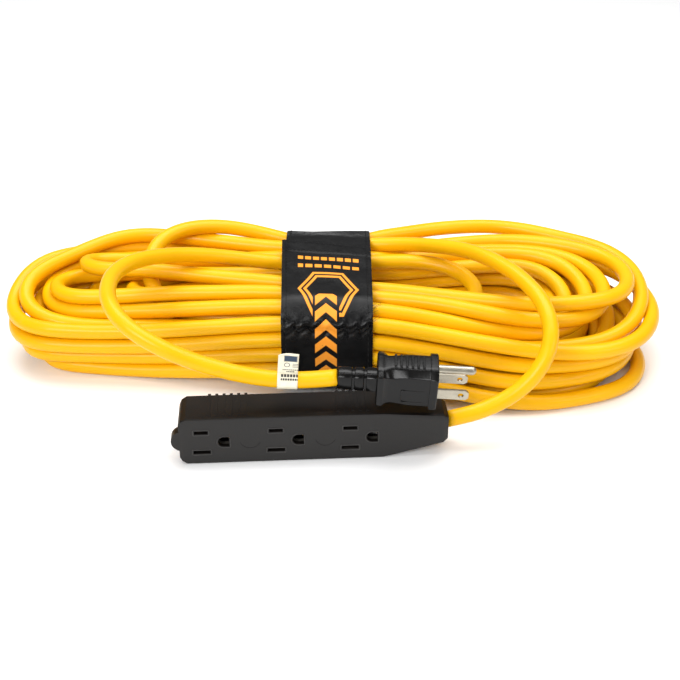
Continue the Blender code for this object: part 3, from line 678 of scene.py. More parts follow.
def bundleHull():
    # the line round the cords under the strap: for each outward direction, the furthest cord centre
    # in that direction plus the cord's radius, a small gap and half the strip, along the direction
    p = strapSpec
    inside = (cordPath[:, 0] > p["left"]) & (cordPath[:, 0] < p["left"] + p["width"])
    inside &= (cordPath[:, 1] > p["frontLimit"]) & (cordPath[:, 2] > 0)
    centres = cordPath[inside][:, 1:]
    angle = np.radians(90 - np.arange(0, 360, 1.))
    outwards = np.stack([np.cos(angle), np.sin(angle)], axis=1)
    furthest = centres[np.argmax(outwards @ centres.T, axis=1)]
    line = furthest + outwards * (cordSpec["radius"] + p["gap"] + p["thickness"] / 2)
    line[:, 1] = np.maximum(line[:, 1], p["lowest"])
    return line


def strapOutline():
    # (Y, Z) of the strip's middle layer, evenly spaced, and its outward normals: it starts on top at its
    # inner end, goes once round the bundle and on over its own start to the loose end
    p = strapSpec
    hull = bundleHull()
    closed = soften(resample(np.concatenate([hull, hull]), p["step"]), 4)
    nearTop = closed[:, 1] > hull[:, 1].max() - 6 * mm
    starts = nearTop[:-1] & (closed[:-1, 0] < p["innerEnd"]) & (closed[1:, 0] >= p["innerEnd"])
    start = np.nonzero(starts)[0][0]
    ends = nearTop & (closed[:, 0] >= p["tailEnd"]) & (np.arange(len(closed)) > start + 400)
    full = resample(closed[start:np.nonzero(ends)[0][0] + 1], p["step"])
    run = arcLengths(full)
    tangent = unit(np.gradient(full, axis=0))
    normal = np.stack([-tangent[:, 1], tangent[:, 0]], axis=1)
    # the strip lies further out as it nears the top again, over its own inner end
    rise = np.clip((run - (run[-1] - 105 * mm)) / (45 * mm), 0, 1)
    return full + normal * (p["lift"] * rise * rise * (3 - 2 * rise))[:, None], normal, run


outline, outlineNormal, outlineRun = strapOutline()
strapLength = outlineRun[-1]
onTop = (outlineRun > strapLength * .6) & (outline[:, 1] > 52 * mm)
rootRun = outlineRun[onTop][np.argmin(np.abs(outline[onTop, 0] - strapSpec["root"]))]
creaseRun = rootRun - 14 * mm


def strapSurface(u, v, lift=0.):
    # a point of the strip: u metres from the left edge, v metres along it, lift metres outwards
    y, z, ny, nz = (np.interp(v, outlineRun, column) for column in (*outline.T, *outlineNormal.T))
    tail = np.clip((v - rootRun) / (strapLength - rootRun), 0, 1)
    side = u / strapSpec["width"] - .5
    x = strapSpec["left"] + u + tail * (-1.2 * mm + 2.4 * mm * side)
    # creases just below the top edge, a shallow hollow in the front, and a tail that isn't quite flat
    zig = (np.abs(((u / .0072 + .12 * np.sin(u * 700)) % 1) * 2 - 1) * 2 - 1) * (.35 + 2.2 * side ** 2)
    crease = np.exp(-.5 * ((v - creaseRun - zig * .0030) / .0011) ** 2)
    second = np.exp(-.5 * ((v - creaseRun + .0040 - zig * .0034) / .0010) ** 2)
    hollow = np.exp(-.5 * ((v - creaseRun + .026) / .010) ** 2) * (1 - 4 * side ** 2)
    wave = .35 * mm * np.sin(v * 210 + side * 5) + .22 * mm * np.sin(v * 95 - side * 9 + 1)
    loose = np.clip((v - .02) / .03, 0, 1)
    extra = lift + .95 * mm * crease - .8 * mm * second - 1.1 * mm * hollow + wave * loose * .7
    extra = extra + tail ** 2 * (.5 * mm * side + .25 * mm * np.sin(side * 7 + 2))
    extra = extra + .35 * mm * np.clip((v - (strapLength - strapSpec["hem"])) / .0008, 0, 1)
    skew = tail * strapSpec["tailSkew"] * 2 * side
    return np.stack([x, y + ny * extra + skew, z + nz * extra], axis=-1)


def strapShell(name, fromV, toV, inset=0., thickness=strapSpec["thickness"], offset=0.):
    # a layer of the strap between two lengths as a closed shell: outer and inner surface, thinner
    # towards its long edges, and the rim between; offset metres outwards of the strip's middle
    p = strapSpec
    rows = int((toV - fromV) / p["pitch"]) + 2
    cols = int((p["width"] - 2 * inset) / p["pitch"]) + 1
    v, u = np.meshgrid(np.linspace(fromV, toV, rows), np.linspace(inset, p["width"] - inset, cols), indexing="ij")
    half = thickness / 2
    thin = half * (1 - .45 * np.exp(-np.minimum(u - inset, p["width"] - inset - u) / (.6 * mm)))
    outer, inner = strapSurface(u, v, offset + thin), strapSurface(u, v, offset - thin)
    count = rows * cols
    index = np.arange(count).reshape(rows, cols)
    under = gridQuads(rows, cols)
    rim = np.concatenate([index[0, :], index[1:, -1], index[-1, -2::-1], index[-2:0:-1, 0]])
    nextRim = np.roll(rim, -1)
    wall = np.stack([rim, nextRim, nextRim + count, rim + count], axis=-1)
    faces = np.concatenate([under[:, [0, 3, 2, 1]], under + count, wall])
    flat = np.stack([u, v], axis=-1).reshape(-1, 2)
    uv = np.concatenate([flat, flat])[faces.ravel()]
    piece = meshPiece(name, np.concatenate([outer.reshape(-1, 3), inner.reshape(-1, 3)]), faces, uv)
    mendShape(piece)
    piece.data.set_sharp_from_angle(angle=math.radians(55))
    return piece


printSpec = {    # places are metres across and along the strip
    "dashMiddle": (27.5 * mm, strapLength - 19.5 * mm), "dashHalf": (18 * mm, 2.1 * mm),
    "dashRows": ((0, 4.7 * mm, .3), (-9.8 * mm, 5.5 * mm, .7)),    # offset along, pitch, first gap
    "ring": (27.2 * mm, strapLength - 56 * mm), "ringReach": (14.6 * mm, 11.8 * mm), "ringLine": .7 * mm,
    "column": (25.8 * mm, creaseRun - 6 * mm), "columnHalf": (6.4 * mm, 24 * mm),
    "columnClear": (7.8 * mm, 25 * mm), "chevronPitch": 9.2 * mm,
    "ink": (.93, .335, .030), "cloth": ((.0013, .0013, .0015), (.0030, .0030, .0033)),
}
seamInset = 2.6 * mm


def makeStrapFinish():
    # black coated webbing with an orange print of plain marks: dashes, a six-sided ring and chevrons
    p = printSpec
    material, coords = newFinish("coatedWebbing", Specular_IOR_Level=.22)
    uv = coords["UV"]
    across, along, _ = splitVector(uv)
    weave = placeGroup(plainWeave, uv, Pitch=1. * mm)
    marks = []
    for offset, pitch, shift in p["dashRows"]:
        band = shapeMask(along, across, (p["dashMiddle"][0], p["dashMiddle"][1] + offset), p["dashHalf"])
        marks.append(band * ramp(fraction(across / pitch + shift), .22, .27))
    # the ring: distance to a hexagon's sides, taken longer along the strip than across it
    ringU, ringV = abs(across - p["ring"][0]), abs(along - p["ring"][1]) * .8
    hexagon = strongest(ringU * .866 + ringV * .5, ringV)
    rings = [ramp(abs(hexagon - reach), p["ringLine"] + .25 * mm, p["ringLine"]) for reach in p["ringReach"]]
    marks.append(strongest(*rings) * (1. - shapeMask(along, across, p["column"], p["columnClear"])))
    # chevrons down the front: the column's length is bent by the distance from its middle
    tooth = fraction((abs(across - p["column"][0]) * .8 + along) / p["chevronPitch"])
    marks.append(shapeMask(along, across, p["column"], p["columnHalf"]) * ramp(tooth, .38, .44))
    ink = strongest(*marks)
    ink = ink.math("MULTIPLY", ink, ramp(noise(uv, 900., 3.), .2, .34), use_clamp=True)
    # sewn rows near the long edges, and the crease rubbed shiny
    seam = ramp(abs(weakest(across - seamInset, strapSpec["width"] - seamInset - across)), .5 * mm, .2 * mm)
    cloth = blend(seam * .5, blend(ramp(weave["Tone"], .35, .65), *p["cloth"]), (.003, .003, .003))
    rubbed = ramp(abs(along - creaseRun), 4 * mm, 11 * mm, -.14, 0.)
    gloss = ink * .12 + (ramp(noise(uv, 160., 3.), .35, .65, .28, .44) + rubbed)
    dent = seam * -1.2 + (ink * .35 + weave["Height"] * .5)
    return paint(material, blend(ink, cloth, p["ink"]), gloss,
                 noise(uv, 260., 3., roughness=.4) * 2.2 + dent, .55, .18 * mm)


strapFinish = makeStrapFinish()
bandPiece = dressPiece(strapShell("strapBand", 0, rootRun), strapFinish, ["strap_band"])
tailPiece = dressPiece(strapShell("strapTail", rootRun, strapLength), strapFinish,
                       ["strap_tail"], None)


def makePileFinish(name, tone, pitch, depth):
    # hook or loop tape: a fine pile of bumps over a fuzzy ground
    material, coords = newFinish(name, Specular_IOR_Level=.3, Sheen_Weight=.3)
    cells = addNode(coords["UV"].tree, "TexVoronoi", {"Vector": coords["UV"], "Scale": 1 / pitch}, "Distance")
    cloud = noise(coords["UV"], 300., 4.)
    return paint(material, blend(cells, tuple(1.8 * part for part in tone), tone),
                 ramp(cloud, .3, .7, .7, .95), cells + cloud, .8, depth)


# hook tape under the loose end, loop tape on the strip below it
patchSpec = {"thickness": .5 * mm, "inset": 3.4 * mm, "length": 40 * mm, "fromStart": 6 * mm, "fromEnd": 4 * mm}


def makePatch(name, fromV, side, finish, node, body):
    # a thin layer of the strip, on its outer side (1) or its inner side (-1)
    p = patchSpec
    lift = side * (strapSpec["thickness"] + p["thickness"]) / 2
    piece = strapShell(name, fromV, fromV + p["length"], p["inset"], p["thickness"], lift)
    return dressPiece(piece, finish, [node], body)


loopFinish = makePileFinish("loopTape", (.010, .010, .010), .6 * mm, .6 * mm)
hookFinish = makePileFinish("hookTape", (.012, .012, .012), 1.2 * mm, .5 * mm)
loopPatch = makePatch("loopPatch", patchSpec["fromStart"], 1, loopFinish, "strap_loop_patch", "cord_set")
hookPatch = makePatch("hookPatch", strapLength - patchSpec["fromEnd"] - patchSpec["length"], -1,
                      hookFinish, "strap_hook_patch", None)
print("strap made:", round(strapLength * 1000), "mm long")

stitchSpec = {"pitch": 3.4 * mm, "halfLength": 1.15 * mm, "halfWidth": .26 * mm, "around": 6, "levels": 5}


def stitchRow(places, along):
    # small thread beads: at each place rings whose radius follows a half circle, long in the row's direction
    p = stitchSpec
    around, levels = p["around"], p["levels"]
    ring = np.arange(around) * 2 * math.pi / around
    level = np.linspace(-1, 1, levels)
    girth = np.sqrt(1 - (level * .999) ** 2)
    longAxis = unit(along)
    up = unit(np.cross(longAxis, np.cross([.3, .2, 1], longAxis)))
    side = np.cross(longAxis, up)
    points = (places[:, None, None, :]
              + p["halfLength"] * level[None, :, None, None] * longAxis[:, None, None, :]
              + p["halfWidth"] * girth[None, :, None, None]
              * (np.cos(ring)[None, None, :, None] * side[:, None, None, :]
                 + np.sin(ring)[None, None, :, None] * up[:, None, None, :]))
    base = np.arange(len(places))[:, None, None] * around * levels
    return points.reshape(-1, 3), (base + gridQuads(levels, around, closeCols=True)).reshape(-1, 4)


def makeStitches(name, rows, body):
    # rows are (u start, u end, v start, v end); evenly spaced beads lying on the strip's outer face
    vertices, faces, count = [], [], 0
    lift = strapSpec["thickness"] / 2 + .05 * mm
    for u0, u1, v0, v1 in rows:
        number = max(int(math.hypot(u1 - u0, v1 - v0) / stitchSpec["pitch"]), 2)
        share = (np.arange(number) + .5) / number
        u, v = u0 + (u1 - u0) * share, v0 + (v1 - v0) * share
        here = strapSurface(u, v, lift)
        ahead = strapSurface(u + (u1 - u0) * .001, v + (v1 - v0) * .001, lift)
        points, quads = stitchRow(here, ahead - here)
        vertices.append(points)
        faces.append(quads + count)
        count += len(points)
    piece = meshPiece(name, np.concatenate(vertices), np.concatenate(faces))
    mendShape(piece, merge=.02 * mm)
    return dressPiece(piece, threadFinish, (), body)


threadFinish = makeMoulded("blackThread", (.006, .006, .006), (.014, .014, .014), .55, grain=3000.)
leftSeam, rightSeam = seamInset, strapSpec["width"] - seamInset
tailStitches = makeStitches("tailStitches", (
    (leftSeam, rightSeam, strapLength - 1.6 * mm, strapLength - 1.6 * mm),
    (leftSeam, rightSeam, strapLength - 11.2 * mm, strapLength - 11.2 * mm),
    (leftSeam, leftSeam, rootRun + 6 * mm, strapLength - 3 * mm),
    (rightSeam, rightSeam, rootRun + 6 * mm, strapLength - 3 * mm)), None)
bandStitches = makeStitches("bandStitches", (
    (leftSeam, leftSeam, 2 * mm, rootRun - 3 * mm), (rightSeam, rightSeam, 2 * mm, rootRun - 3 * mm),
    (leftSeam, rightSeam, 2.2 * mm, 2.2 * mm)), "cord_set")
for piece in (tailPiece, tailStitches, hookPatch):
    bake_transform(piece)
float(strapLength - rootRun)


def frameOf(place, turns):
    # rotation rows and origin of a placed piece, from its place and XYZ turns in degrees
    return np.array(Euler([math.radians(turn) for turn in turns], "XYZ").to_matrix()), np.array(place)


def roundedCopy(node, name, width, finish):
    # a closed copy of a CAD node with its flat faces merged and its edges rounded; it stands for the node
    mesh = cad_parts[node].data.copy()
    mesh.name = name
    shape = bmesh.new()
    shape.from_mesh(mesh)
    bmesh.ops.remove_doubles(shape, verts=shape.verts, dist=.002 * mm)
    bmesh.ops.dissolve_limit(shape, angle_limit=math.radians(.6), verts=shape.verts, edges=shape.edges)
    shape.to_mesh(mesh)
    shape.free()
    mesh.materials.clear()
    mesh.shade_smooth()
    piece = bpy.data.objects.new(name, mesh)
    bpy.context.scene.collection.objects.link(piece)
    bevel = piece.modifiers.new("roundEdges", "BEVEL")
    bevel.width = width
    bevel.segments = 2
    bevel.limit_method = "ANGLE"
    bevel.angle_limit = math.radians(28)
    bevel.use_clamp_overlap = True
    bevel.miter_outer = "MITER_ARC"
    weighted = piece.modifiers.new("evenShade", "WEIGHTED_NORMAL")
    weighted.keep_sharp = True
    return dressPiece(piece, finish, [node])


tapSpec = {"place": (-83.5 * mm, -102.2707 * mm, 0), "turns": (0, 0, 3.4), "edge": .32 * mm,
           "height": 28.9 * mm, "depth": 25 * mm, "ribShare": .5}
plugSpec = {
    "place": (55.5 * mm, -86.8707 * mm, 41.6 * mm), "turns": (10, 2.5, -2), "bladeEdge": .18 * mm,
    "rear": -53.7, "axis": 1.8, "perCorner": 8,
    # the strain relief with its two grooves, in mm: distance from the rear, radius
    "relief": ((0, 5.0), (.3, 5.7), (.9, 6.1), (7.6, 6.3), (7.9, 6.1), (8.1, 5.5), (9.3, 5.5), (9.5, 6.2),
               (9.8, 6.4), (14.0, 6.5), (14.3, 6.3), (14.5, 5.7), (15.7, 5.7), (15.9, 6.4), (16.2, 6.6),
               (21.1, 6.6)),
    # the body in mm: x, half width, bottom, height of the side ridges, crown
    "body": ((-32.6, 9.8, -6.8, 11.8, 13.8), (-32.3, 10.6, -7.6, 12.5, 14.7), (-31.7, 11.0, -8.0, 12.8, 15.0),
             (-29.3, 11.0, -8.0, 12.8, 15.0), (-28.8, 10.7, -7.7, 12.5, 14.8), (-27.0, 9.5, -7.1, 11.3, 14.9),
             (-25.0, 9.1, -6.9, 10.9, 15.3), (-23.0, 9.1, -7.0, 11.0, 15.7), (-17.5, 9.7, -7.3, 12.4, 16.0),
             (-15.5, 9.9, -7.4, 12.7, 16.0), (-4.8, 10.0, -7.4, 12.1, 16.0), (-4.3, 10.2, -7.5, 12.2, 16.1),
             (-4.2, 11.1, -8.2, 12.9, 16.6), (-3.8, 11.4, -8.4, 13.0, 16.8), (-.5, 11.4, -8.4, 13.0, 16.8),
             (0, 11.0, -8.0, 12.7, 16.4)),
    "corners": (1.6, .6, 1.6, 1.6, .6, 1.6),    # roundings of the cross-section, mm
    "ribs": 6, "firstRib": -22.9 * mm, "ribPitch": 3. * mm, "ribHalf": (.7 * mm, 5.2 * mm),
    "ribHeights": (15 * mm, 16.8 * mm),
}
tapTurn, tapPlace = frameOf(tapSpec["place"], tapSpec["turns"])
plugTurn, plugPlace = frameOf(plugSpec["place"], plugSpec["turns"])


def lowerRibs(piece):
    # what stands above the top or behind the back of the tap is brought nearer to it
    p = tapSpec
    points = np.empty(len(piece.data.vertices) * 3)
    piece.data.vertices.foreach_get("co", points)
    local = (points.reshape(-1, 3) - tapPlace) @ tapTurn
    local[:, 2] -= np.clip(local[:, 2] - p["height"], 0, 1) * p["ribShare"]
    local[:, 1] -= np.clip(local[:, 1] - p["depth"], 0, 1) * (1 - p["ribShare"] * .4)
    piece.data.vertices.foreach_set("co", (local @ tapTurn.T + tapPlace).ravel())
    piece.data.update()


lowerRibs(roundedCopy("tap_overmould", "tapShell", tapSpec["edge"], tapFinish))
for node in ("hot_blade", "neutral_blade"):
    roundedCopy(node, node + "Plated", plugSpec["bladeEdge"], nickelFinish)
print("shells rounded")


def closedTube(path, radius, sides=8):
    # a tube along a closed line; the circle at each point lies across the line
    tangent = unit(np.roll(path, -1, axis=0) - np.roll(path, 1, axis=0))
    normal = unit(np.cross(path - path.mean(0), tangent).sum(0, keepdims=True))
    points = circlesAlong(path, radius, unit(np.cross(tangent, normal)), normal, sides)
    return points, [gridQuads(len(path), sides, True, True)]


def openTube(path, radius, sides=8):
    # a thin round tube along a line whose radius follows a square root down to pinched ends
    tangent = unit(np.gradient(path, axis=0))
    side = unit(np.cross(tangent, [0, 1, .01]))
    share = np.linspace(0, 1, len(path))
    taper = np.clip(np.minimum(share, 1 - share) * 12, .02, 1) ** .5
    points = circlesAlong(path, radius * taper, side, np.cross(side, tangent), sides)
    around = np.arange(sides)[None, :]
    return points, [gridQuads(len(path), sides, closeCols=True), around[:, ::-1], (len(path) - 1) * sides + around]


def roundedLoop(x, z, halfX, halfZ, corner, depth, steps=5):
    # a rounded rectangle standing in the X-Z plane at the given depth, a quarter circle per corner
    points = []
    for signX, signZ, first in ((1, 1, 0), (-1, 1, 90), (-1, -1, 180), (1, -1, 270)):
        turn = np.radians(np.linspace(0, 90, steps)) + math.radians(first)
        points.append(np.stack([x + signX * (halfX - corner) + corner * np.cos(turn), np.full(steps, depth),
                                z + signZ * (halfZ - corner) + corner * np.sin(turn)], axis=1))
    return np.concatenate(points)


def groundLoop(x, z, radius, depth, steps=17):
    # a half circle on the left, square with small slopes on the right
    angle = np.radians(np.linspace(90, 270, steps))
    left = np.stack([x + radius * np.cos(angle), np.full(steps, depth), z + radius * np.sin(angle)], axis=1)
    right = np.array([(.6, -1), (.95, -.95), (1, -.6), (1, .6), (.95, .95), (.6, 1)]) * radius
    return np.concatenate([left, np.stack([x + right[:, 0], np.full(6, depth), z + right[:, 1]], axis=1)])


def joinShapes(name, shapes, turn, place, finish):
    # several (points, face blocks) in one piece, turned and moved into the part's frame
    vertices, faces, count = [], [], 0
    for points, blocks in shapes:
        vertices.append(points @ turn.T + place)
        for block in blocks:
            faces += (block + count).tolist()
        count += len(points)
    piece = meshPiece(name, np.concatenate(vertices), faces)
    mendShape(piece)
    return dressPiece(piece, finish)


def houseOutline(halfWide, bottom, ridge, crown):
    # corners of the cross-section, each rounded by a short curve: straight sides up to a ridge, then a roof
    corners = np.array([(halfWide, bottom), (halfWide, ridge), (.55 * halfWide, crown), (-.55 * halfWide, crown),
                        (-halfWide, ridge), (-halfWide, bottom)])
    radius = np.array(plugSpec["corners"])[:, None]
    before = corners + radius * unit(np.roll(corners, 1, axis=0) - corners)
    after = corners + radius * unit(np.roll(corners, -1, axis=0) - corners)
    t = np.linspace(0, 1, plugSpec["perCorner"])[None, :, None]
    curve = (1 - t) ** 2 * before[:, None] + 2 * t * (1 - t) * corners[:, None] + t * t * after[:, None]
    return curve.reshape(-1, 2)


def makePlug():
    # rings along the plug: circles for the strain relief, house shapes for the body, joined by quads
    p = plugSpec
    first = houseOutline(*p["body"][0][1:])
    count = len(first)
    angle = np.arctan2(first[:, 1] - p["axis"], first[:, 0])
    rings = [np.stack([np.full(count, p["rear"] + x), radius * np.cos(angle), p["axis"] + radius * np.sin(angle)],
                      axis=1) for x, radius in p["relief"]]
    rings += [np.concatenate([np.full((count, 1), section[0]), houseOutline(*section[1:])], axis=1)
              for section in p["body"]]
    points = np.concatenate(rings) * mm
    quads = gridQuads(len(rings), count, closeCols=True).tolist()
    quads += [list(range(count))[::-1], list(range(len(points) - count, len(points)))]
    piece = meshPiece("plugShell", points @ plugTurn.T + plugPlace, quads)
    mendShape(piece)
    piece.data.set_sharp_from_angle(angle=math.radians(38))
    return dressPiece(piece, plugFinish, ["plug_overmould"])


def ribShape(x, halfX, halfY, low, high):
    # a low bar across the roof with sloping ends: a rectangle at three heights, the top one smaller
    foot = np.array([(x - halfX, -halfY, low), (x + halfX, -halfY, low),
                     (x + halfX, halfY, low), (x - halfX, halfY, low)])
    middle = foot + (0, 0, (high - low) * .75)
    inX, inY = .2 * mm, halfY - .9 * mm
    top = foot * (1, 0, 0) + np.array([(inX, -inY, high), (-inX, -inY, high), (-inX, inY, high), (inX, inY, high)])
    quads = np.concatenate([[(3, 2, 1, 0), (8, 9, 10, 11)], gridQuads(3, 4, closeCols=True)])
    return np.concatenate([foot, middle, top]), [quads]


plugShell = makePlug()
outletSpec = {"first": 12.2 * mm, "pitch": 40.3 * mm, "height": 14.2 * mm, "rise": 6.35 * mm, "ground": 11.9 * mm,
              "slots": (7.4 * mm, 9.2 * mm), "slotHeight": 2. * mm, "holeRadius": 3.1 * mm,
              "standOff": -.02 * mm, "slotRim": (.62 * mm, .30 * mm), "holeRim": (.5 * mm, .27 * mm)}
rims = []
for number in range(3):
    p = outletSpec
    x = p["first"] + number * p["pitch"]
    out, girth = p["slotRim"]
    for width, sign in zip(p["slots"], (1, -1)):
        rims.append(closedTube(roundedLoop(x, p["height"] + sign * p["rise"], width / 2 + out,
                                           p["slotHeight"] / 2 + out, .6 * mm, p["standOff"]), girth))
    out, girth = p["holeRim"]
    rims.append(closedTube(groundLoop(x + p["ground"], p["height"], p["holeRadius"] + out, p["standOff"]), girth))
# the rims are painted paler than the tap face: a painted highlight standing in for the light the raised slot lips
# catch
rimPaintedHighlightFinish = makeMoulded("rimVinylPaintedHighlight", (.035, .033, .032), (.050, .048, .046), .36, scuff=.1)
joinShapes("outletRims", rims, tapTurn, tapPlace, rimPaintedHighlightFinish)

# the shallow U marks between the outlets, then the raised frame and the ribs on the plug
arcSpec = {"middles": (38.4 * mm, 79.2 * mm), "height": 15.2 * mm, "radius": 5.6 * mm,
           "girth": .22 * mm, "steps": 26}
turn = np.radians(np.linspace(195, 345, arcSpec["steps"]))
joinShapes("faceArcs", [openTube(np.stack([middle + arcSpec["radius"] * np.cos(turn), np.full(len(turn), .02 * mm),
                                           arcSpec["height"] + arcSpec["radius"] * np.sin(turn)], axis=1),
                                 arcSpec["girth"]) for middle in arcSpec["middles"]],
           tapTurn, tapPlace, tapFinish)
panelLoop = roundedLoop(-12.2 * mm, -.2 * mm, 7 * mm, 4 * mm, .8 * mm, -9.75 * mm)
joinShapes("plugPanelFrame", [closedTube(panelLoop, .3 * mm)], plugTurn, plugPlace, plugFinish)
ribPiece = joinShapes("plugRibs", [ribShape(plugSpec["firstRib"] + k * plugSpec["ribPitch"], *plugSpec["ribHalf"],
                                            *plugSpec["ribHeights"]) for k in range(plugSpec["ribs"])],
                      plugTurn, plugPlace, plugFinish)
ribPiece.data.shade_flat()
print("outlet rims and mould marks made")


# The label: a strip of vinyl folded round the cord, its two halves stuck together as a flag.

tagSpec = {"place": (-27.04 * mm, -85.7 * mm, 43.6 * mm), "up": (.09, -.16, .971), "width": 11 * mm,
           "height": 19.2 * mm, "ringRadius": 4.95 * mm, "thickness": .22 * mm, "gap": .16 * mm,
           "nearEnd": 80}    # it is near the plug: among this many last points of the cord's line


def makeTag():
    # cross-section: down the front half, round the cord, up the back half; width runs along the cord
    p = tagSpec
    r, gap = p["ringRadius"], p["gap"]
    touch = math.asin(gap / r)
    straight = np.linspace(p["height"], r * math.cos(touch) + .6 * mm, 16)
    angle = np.linspace(math.pi / 2 + touch, 2.5 * math.pi - touch, 40)
    line = np.concatenate([np.stack([np.full(16, -gap), straight], axis=1),
                           np.stack([r * np.cos(angle), r * np.sin(angle)], axis=1),
                           np.stack([np.full(16, gap), straight[::-1]], axis=1)])
    v, u = np.meshgrid(arcLengths(line), np.linspace(-.5, .5, 15), indexing="ij")
    depth, height = line[:, 0][:, None] + 0 * u, line[:, 1][:, None] + 0 * u
    # the flag bows a little and its far upper corner curls forwards
    flag = np.clip((height - r) / (p["height"] - r), 0, 1)
    curl = np.clip(flag * 1.25 + u * .9 - 1.15, 0, 1) ** 2
    depth = depth - .9 * mm * flag ** 2 - 3.2 * mm * curl
    height = height - 1.3 * mm * curl + .25 * mm * np.sin(u * 5 + 1) * flag
    ending = cordPath[-p["nearEnd"]:]
    nearest = len(cordPath) - p["nearEnd"] + np.argmin(np.linalg.norm(ending - p["place"], axis=1))
    along = unit(cordPath[nearest + 1] - cordPath[nearest - 1])
    along = along * (1 if along[0] < 0 else -1)
    up = unit(np.array(p["up"]) - np.array(p["up"]) @ along * along)
    side = np.cross(up, along)
    side = -side if side[1] > 0 else side
    points = (cordPath[nearest] + (u * p["width"])[..., None] * along
              + height[..., None] * up - depth[..., None] * side)
    quads = gridQuads(*u.shape)[:, [0, 3, 2, 1]]
    flat = np.stack([p["width"] / 2 - u * p["width"], v], axis=-1).reshape(-1, 2)
    piece = meshPiece("cordLabel", points.reshape(-1, 3), quads, flat[quads.ravel()])
    mendShape(piece)
    solid = piece.modifiers.new("labelThickness", "SOLIDIFY")
    solid.thickness = p["thickness"]
    solid.offset = 0
    return piece


labelMarks = {    # in mm: middle across and along, half width, half height
    "square": (6.7, 3.6, 3.3, 2.), "border": (6.7, 3.6, 3.7, 2.4), "bars": (9.4, 8.3, 1.6, 1.6),
    "ring": (4.9, 8.3), "ringRadius": 1.4,
    # rows of short bars: middle along, half width, half height, pitch
    "rows": ((11.8, 4.2, .35, 1.1), (13.1, 2.4, .4, .9), (16., 5.2, .9, 1.6), (18.1, 5., .6, 1.3)),
}


def makeTagFinish():
    # cream vinyl with a dark square, a plain ring and rows of bars in place of words
    p = labelMarks
    material, coords = newFinish("printedLabel", Specular_IOR_Level=.4)
    uv = coords["UV"]
    across, along, _ = splitVector(uv)

    def patch(middleU, middleV, halfU, halfV):
        return shapeMask(along, across, (middleU * mm, middleV * mm), (halfU * mm, halfV * mm), .1 * mm)

    du, dv = across - p["ring"][0] * mm, along - p["ring"][1] * mm
    distance = (du * du + dv * dv).math("SQRT")
    ring = ramp(abs(distance - p["ringRadius"] * mm), .3 * mm, .2 * mm)
    comb = ramp(fraction(along / (1.1 * mm)), .5, .55)
    rows = [patch(6.8, middle, halfU, halfV) * ramp(fraction(across / (pitch * mm)), .2, .26)
            for middle, halfU, halfV, pitch in p["rows"]]
    colour = blend(ramp(noise(uv, 260., 3.), .3, .7), (.80, .74, .56), (.90, .86, .70))
    for mask, tone in ((patch(*p["border"]) * .65, (.05, .05, .06)), (patch(*p["square"]), (.018, .045, .085)),
                       (strongest(ring, patch(*p["bars"]) * comb), (.22, .21, .19)),
                       (strongest(*rows), (.03, .026, .028))):
        colour = blend(mask, colour, tone)
    return paint(material, colour, ramp(noise(uv, 500., 3.), .3, .7, .28, .42), noise(uv, 1400., 3.), .2, .05 * mm)


tagPiece = dressPiece(makeTag(), makeTagFinish(), ["cord_tag"])

# loose threads at the strap's right edge
random = np.random.default_rng(7)
hairs = []
for number in range(9):
    v0 = creaseRun + random.uniform(.001, .016)
    start = strapSurface(np.array(strapSpec["width"] - .4 * mm), np.array(v0))
    reach = np.array([random.uniform(.002, .006), random.uniform(-.002, .003), random.uniform(.001, .004)])
    bow = np.array([0, random.uniform(-.0006, .0006), random.uniform(0, .0008)])
    share = np.linspace(0, 1, 9)[:, None]
    hairs.append(openTube(start + reach * share + bow * np.sin(share * math.pi), .08 * mm, 5))
joinShapes("strapFray", hairs, np.eye(3), np.zeros(3), threadFinish)


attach(cordPiece, "cord_set")
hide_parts("cord_hank", "cord_plug_run", "cord_tap_run")


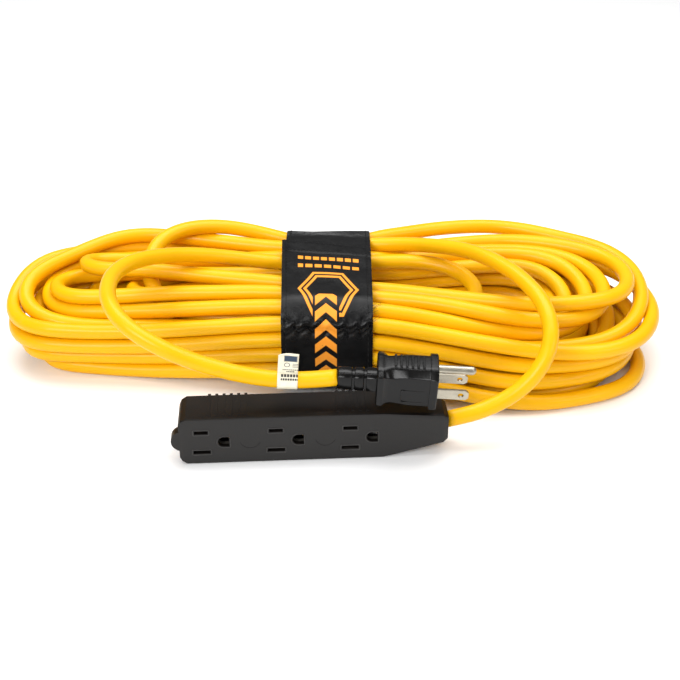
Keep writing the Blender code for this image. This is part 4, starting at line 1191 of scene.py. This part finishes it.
# the CAD pieces that stay get their finishes
nodeFinishes = (
    (makeMoulded("ivoryInsulator", (.045, .042, .036), (.07, .066, .058), .5, scuff=.1),
     ("tap_front_insulator", "tap_rear_insulator", "plug_bridge")),
    (makeMetal("rolledBrass", (.74, .50, .22), .28), ("hot_bus_bar", "neutral_bus_bar", "ground_bus_bar")),
    (makeMoulded("blackInsulation", (.008, .008, .008), (.014, .014, .014), .4), ("tap_hot_wire", "plug_hot_wire")),
    (makeMoulded("whiteInsulation", (.70, .70, .67), (.80, .80, .77), .4), ("tap_neutral_wire", "plug_neutral_wire")),
    (makeMoulded("greenInsulation", (.01, .18, .04), (.015, .24, .06), .4), ("tap_ground_wire", "plug_ground_wire")),
    (nickelFinish, ("ground_pin",)),
)
for finish, nodes in nodeFinishes:
    for node in nodes:
        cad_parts[node].data.materials.clear()
        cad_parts[node].data.materials.append(finish)
print("CAD pieces finished")


# Studio: a pale floor, a broad soft light above and behind, and a weak pale surround

studioSpec = {
    "floorHalf": 5, "floorTones": ((.92, .92, .92), (.94, .94, .94)), "surround": .25, "aim": (0, 0, .03),
    # place, width and depth, power
    "lights": {"topBack": ((.05, .35, 1.3), (1.6, .8), 21), "frontLeft": ((-.7, -1.3, .95), (1., .6), 19),
               "narrowTop": ((0, -.3, 1.25), (1.9, .06), 3.6), "frontRight": ((1.1, -.9, .8), (.7, .5), 4)},
}
half = studioSpec["floorHalf"]
floorMesh = bpy.data.meshes.new("floor")
floorMesh.from_pydata([(-half, -half, 0), (half, -half, 0), (half, half, 0), (-half, half, 0)], [], [(0, 1, 2, 3)])
floor = bpy.data.objects.new("floor", floorMesh)
bpy.context.scene.collection.objects.link(floor)
floorFinish, floorCoords = newFinish("paleFloor", Roughness=.7, Specular_IOR_Level=.2)
floorTone = blend(noise(floorCoords["Object"], 3., 2.), *studioSpec["floorTones"])
floorTone.tree.links.new(floorTone.socket, floorTone.tree.nodes["Principled BSDF"].inputs["Base Color"])
floorMesh.materials.append(floorFinish)

for name, (place, size, power) in studioSpec["lights"].items():
    light = bpy.data.objects.new(name, bpy.data.lights.new(name, "AREA"))
    light.data.shape = "RECTANGLE"
    light.data.size, light.data.size_y = size
    light.data.energy = power
    bpy.context.scene.collection.objects.link(light)
    light.location = place
    light.rotation_euler = (Vector(studioSpec["aim"]) - Vector(place)).to_track_quat("-Z", "Y").to_euler()
world = bpy.data.worlds.new("studio")
bpy.context.scene.world = world
world.use_nodes = True
world.node_tree.nodes["Background"].inputs["Color"].default_value = (1, 1, 1, 1)
world.node_tree.nodes["Background"].inputs["Strength"].default_value = studioSpec["surround"]
bpy.context.scene.view_settings.view_transform = "Standard"
print("studio lit")
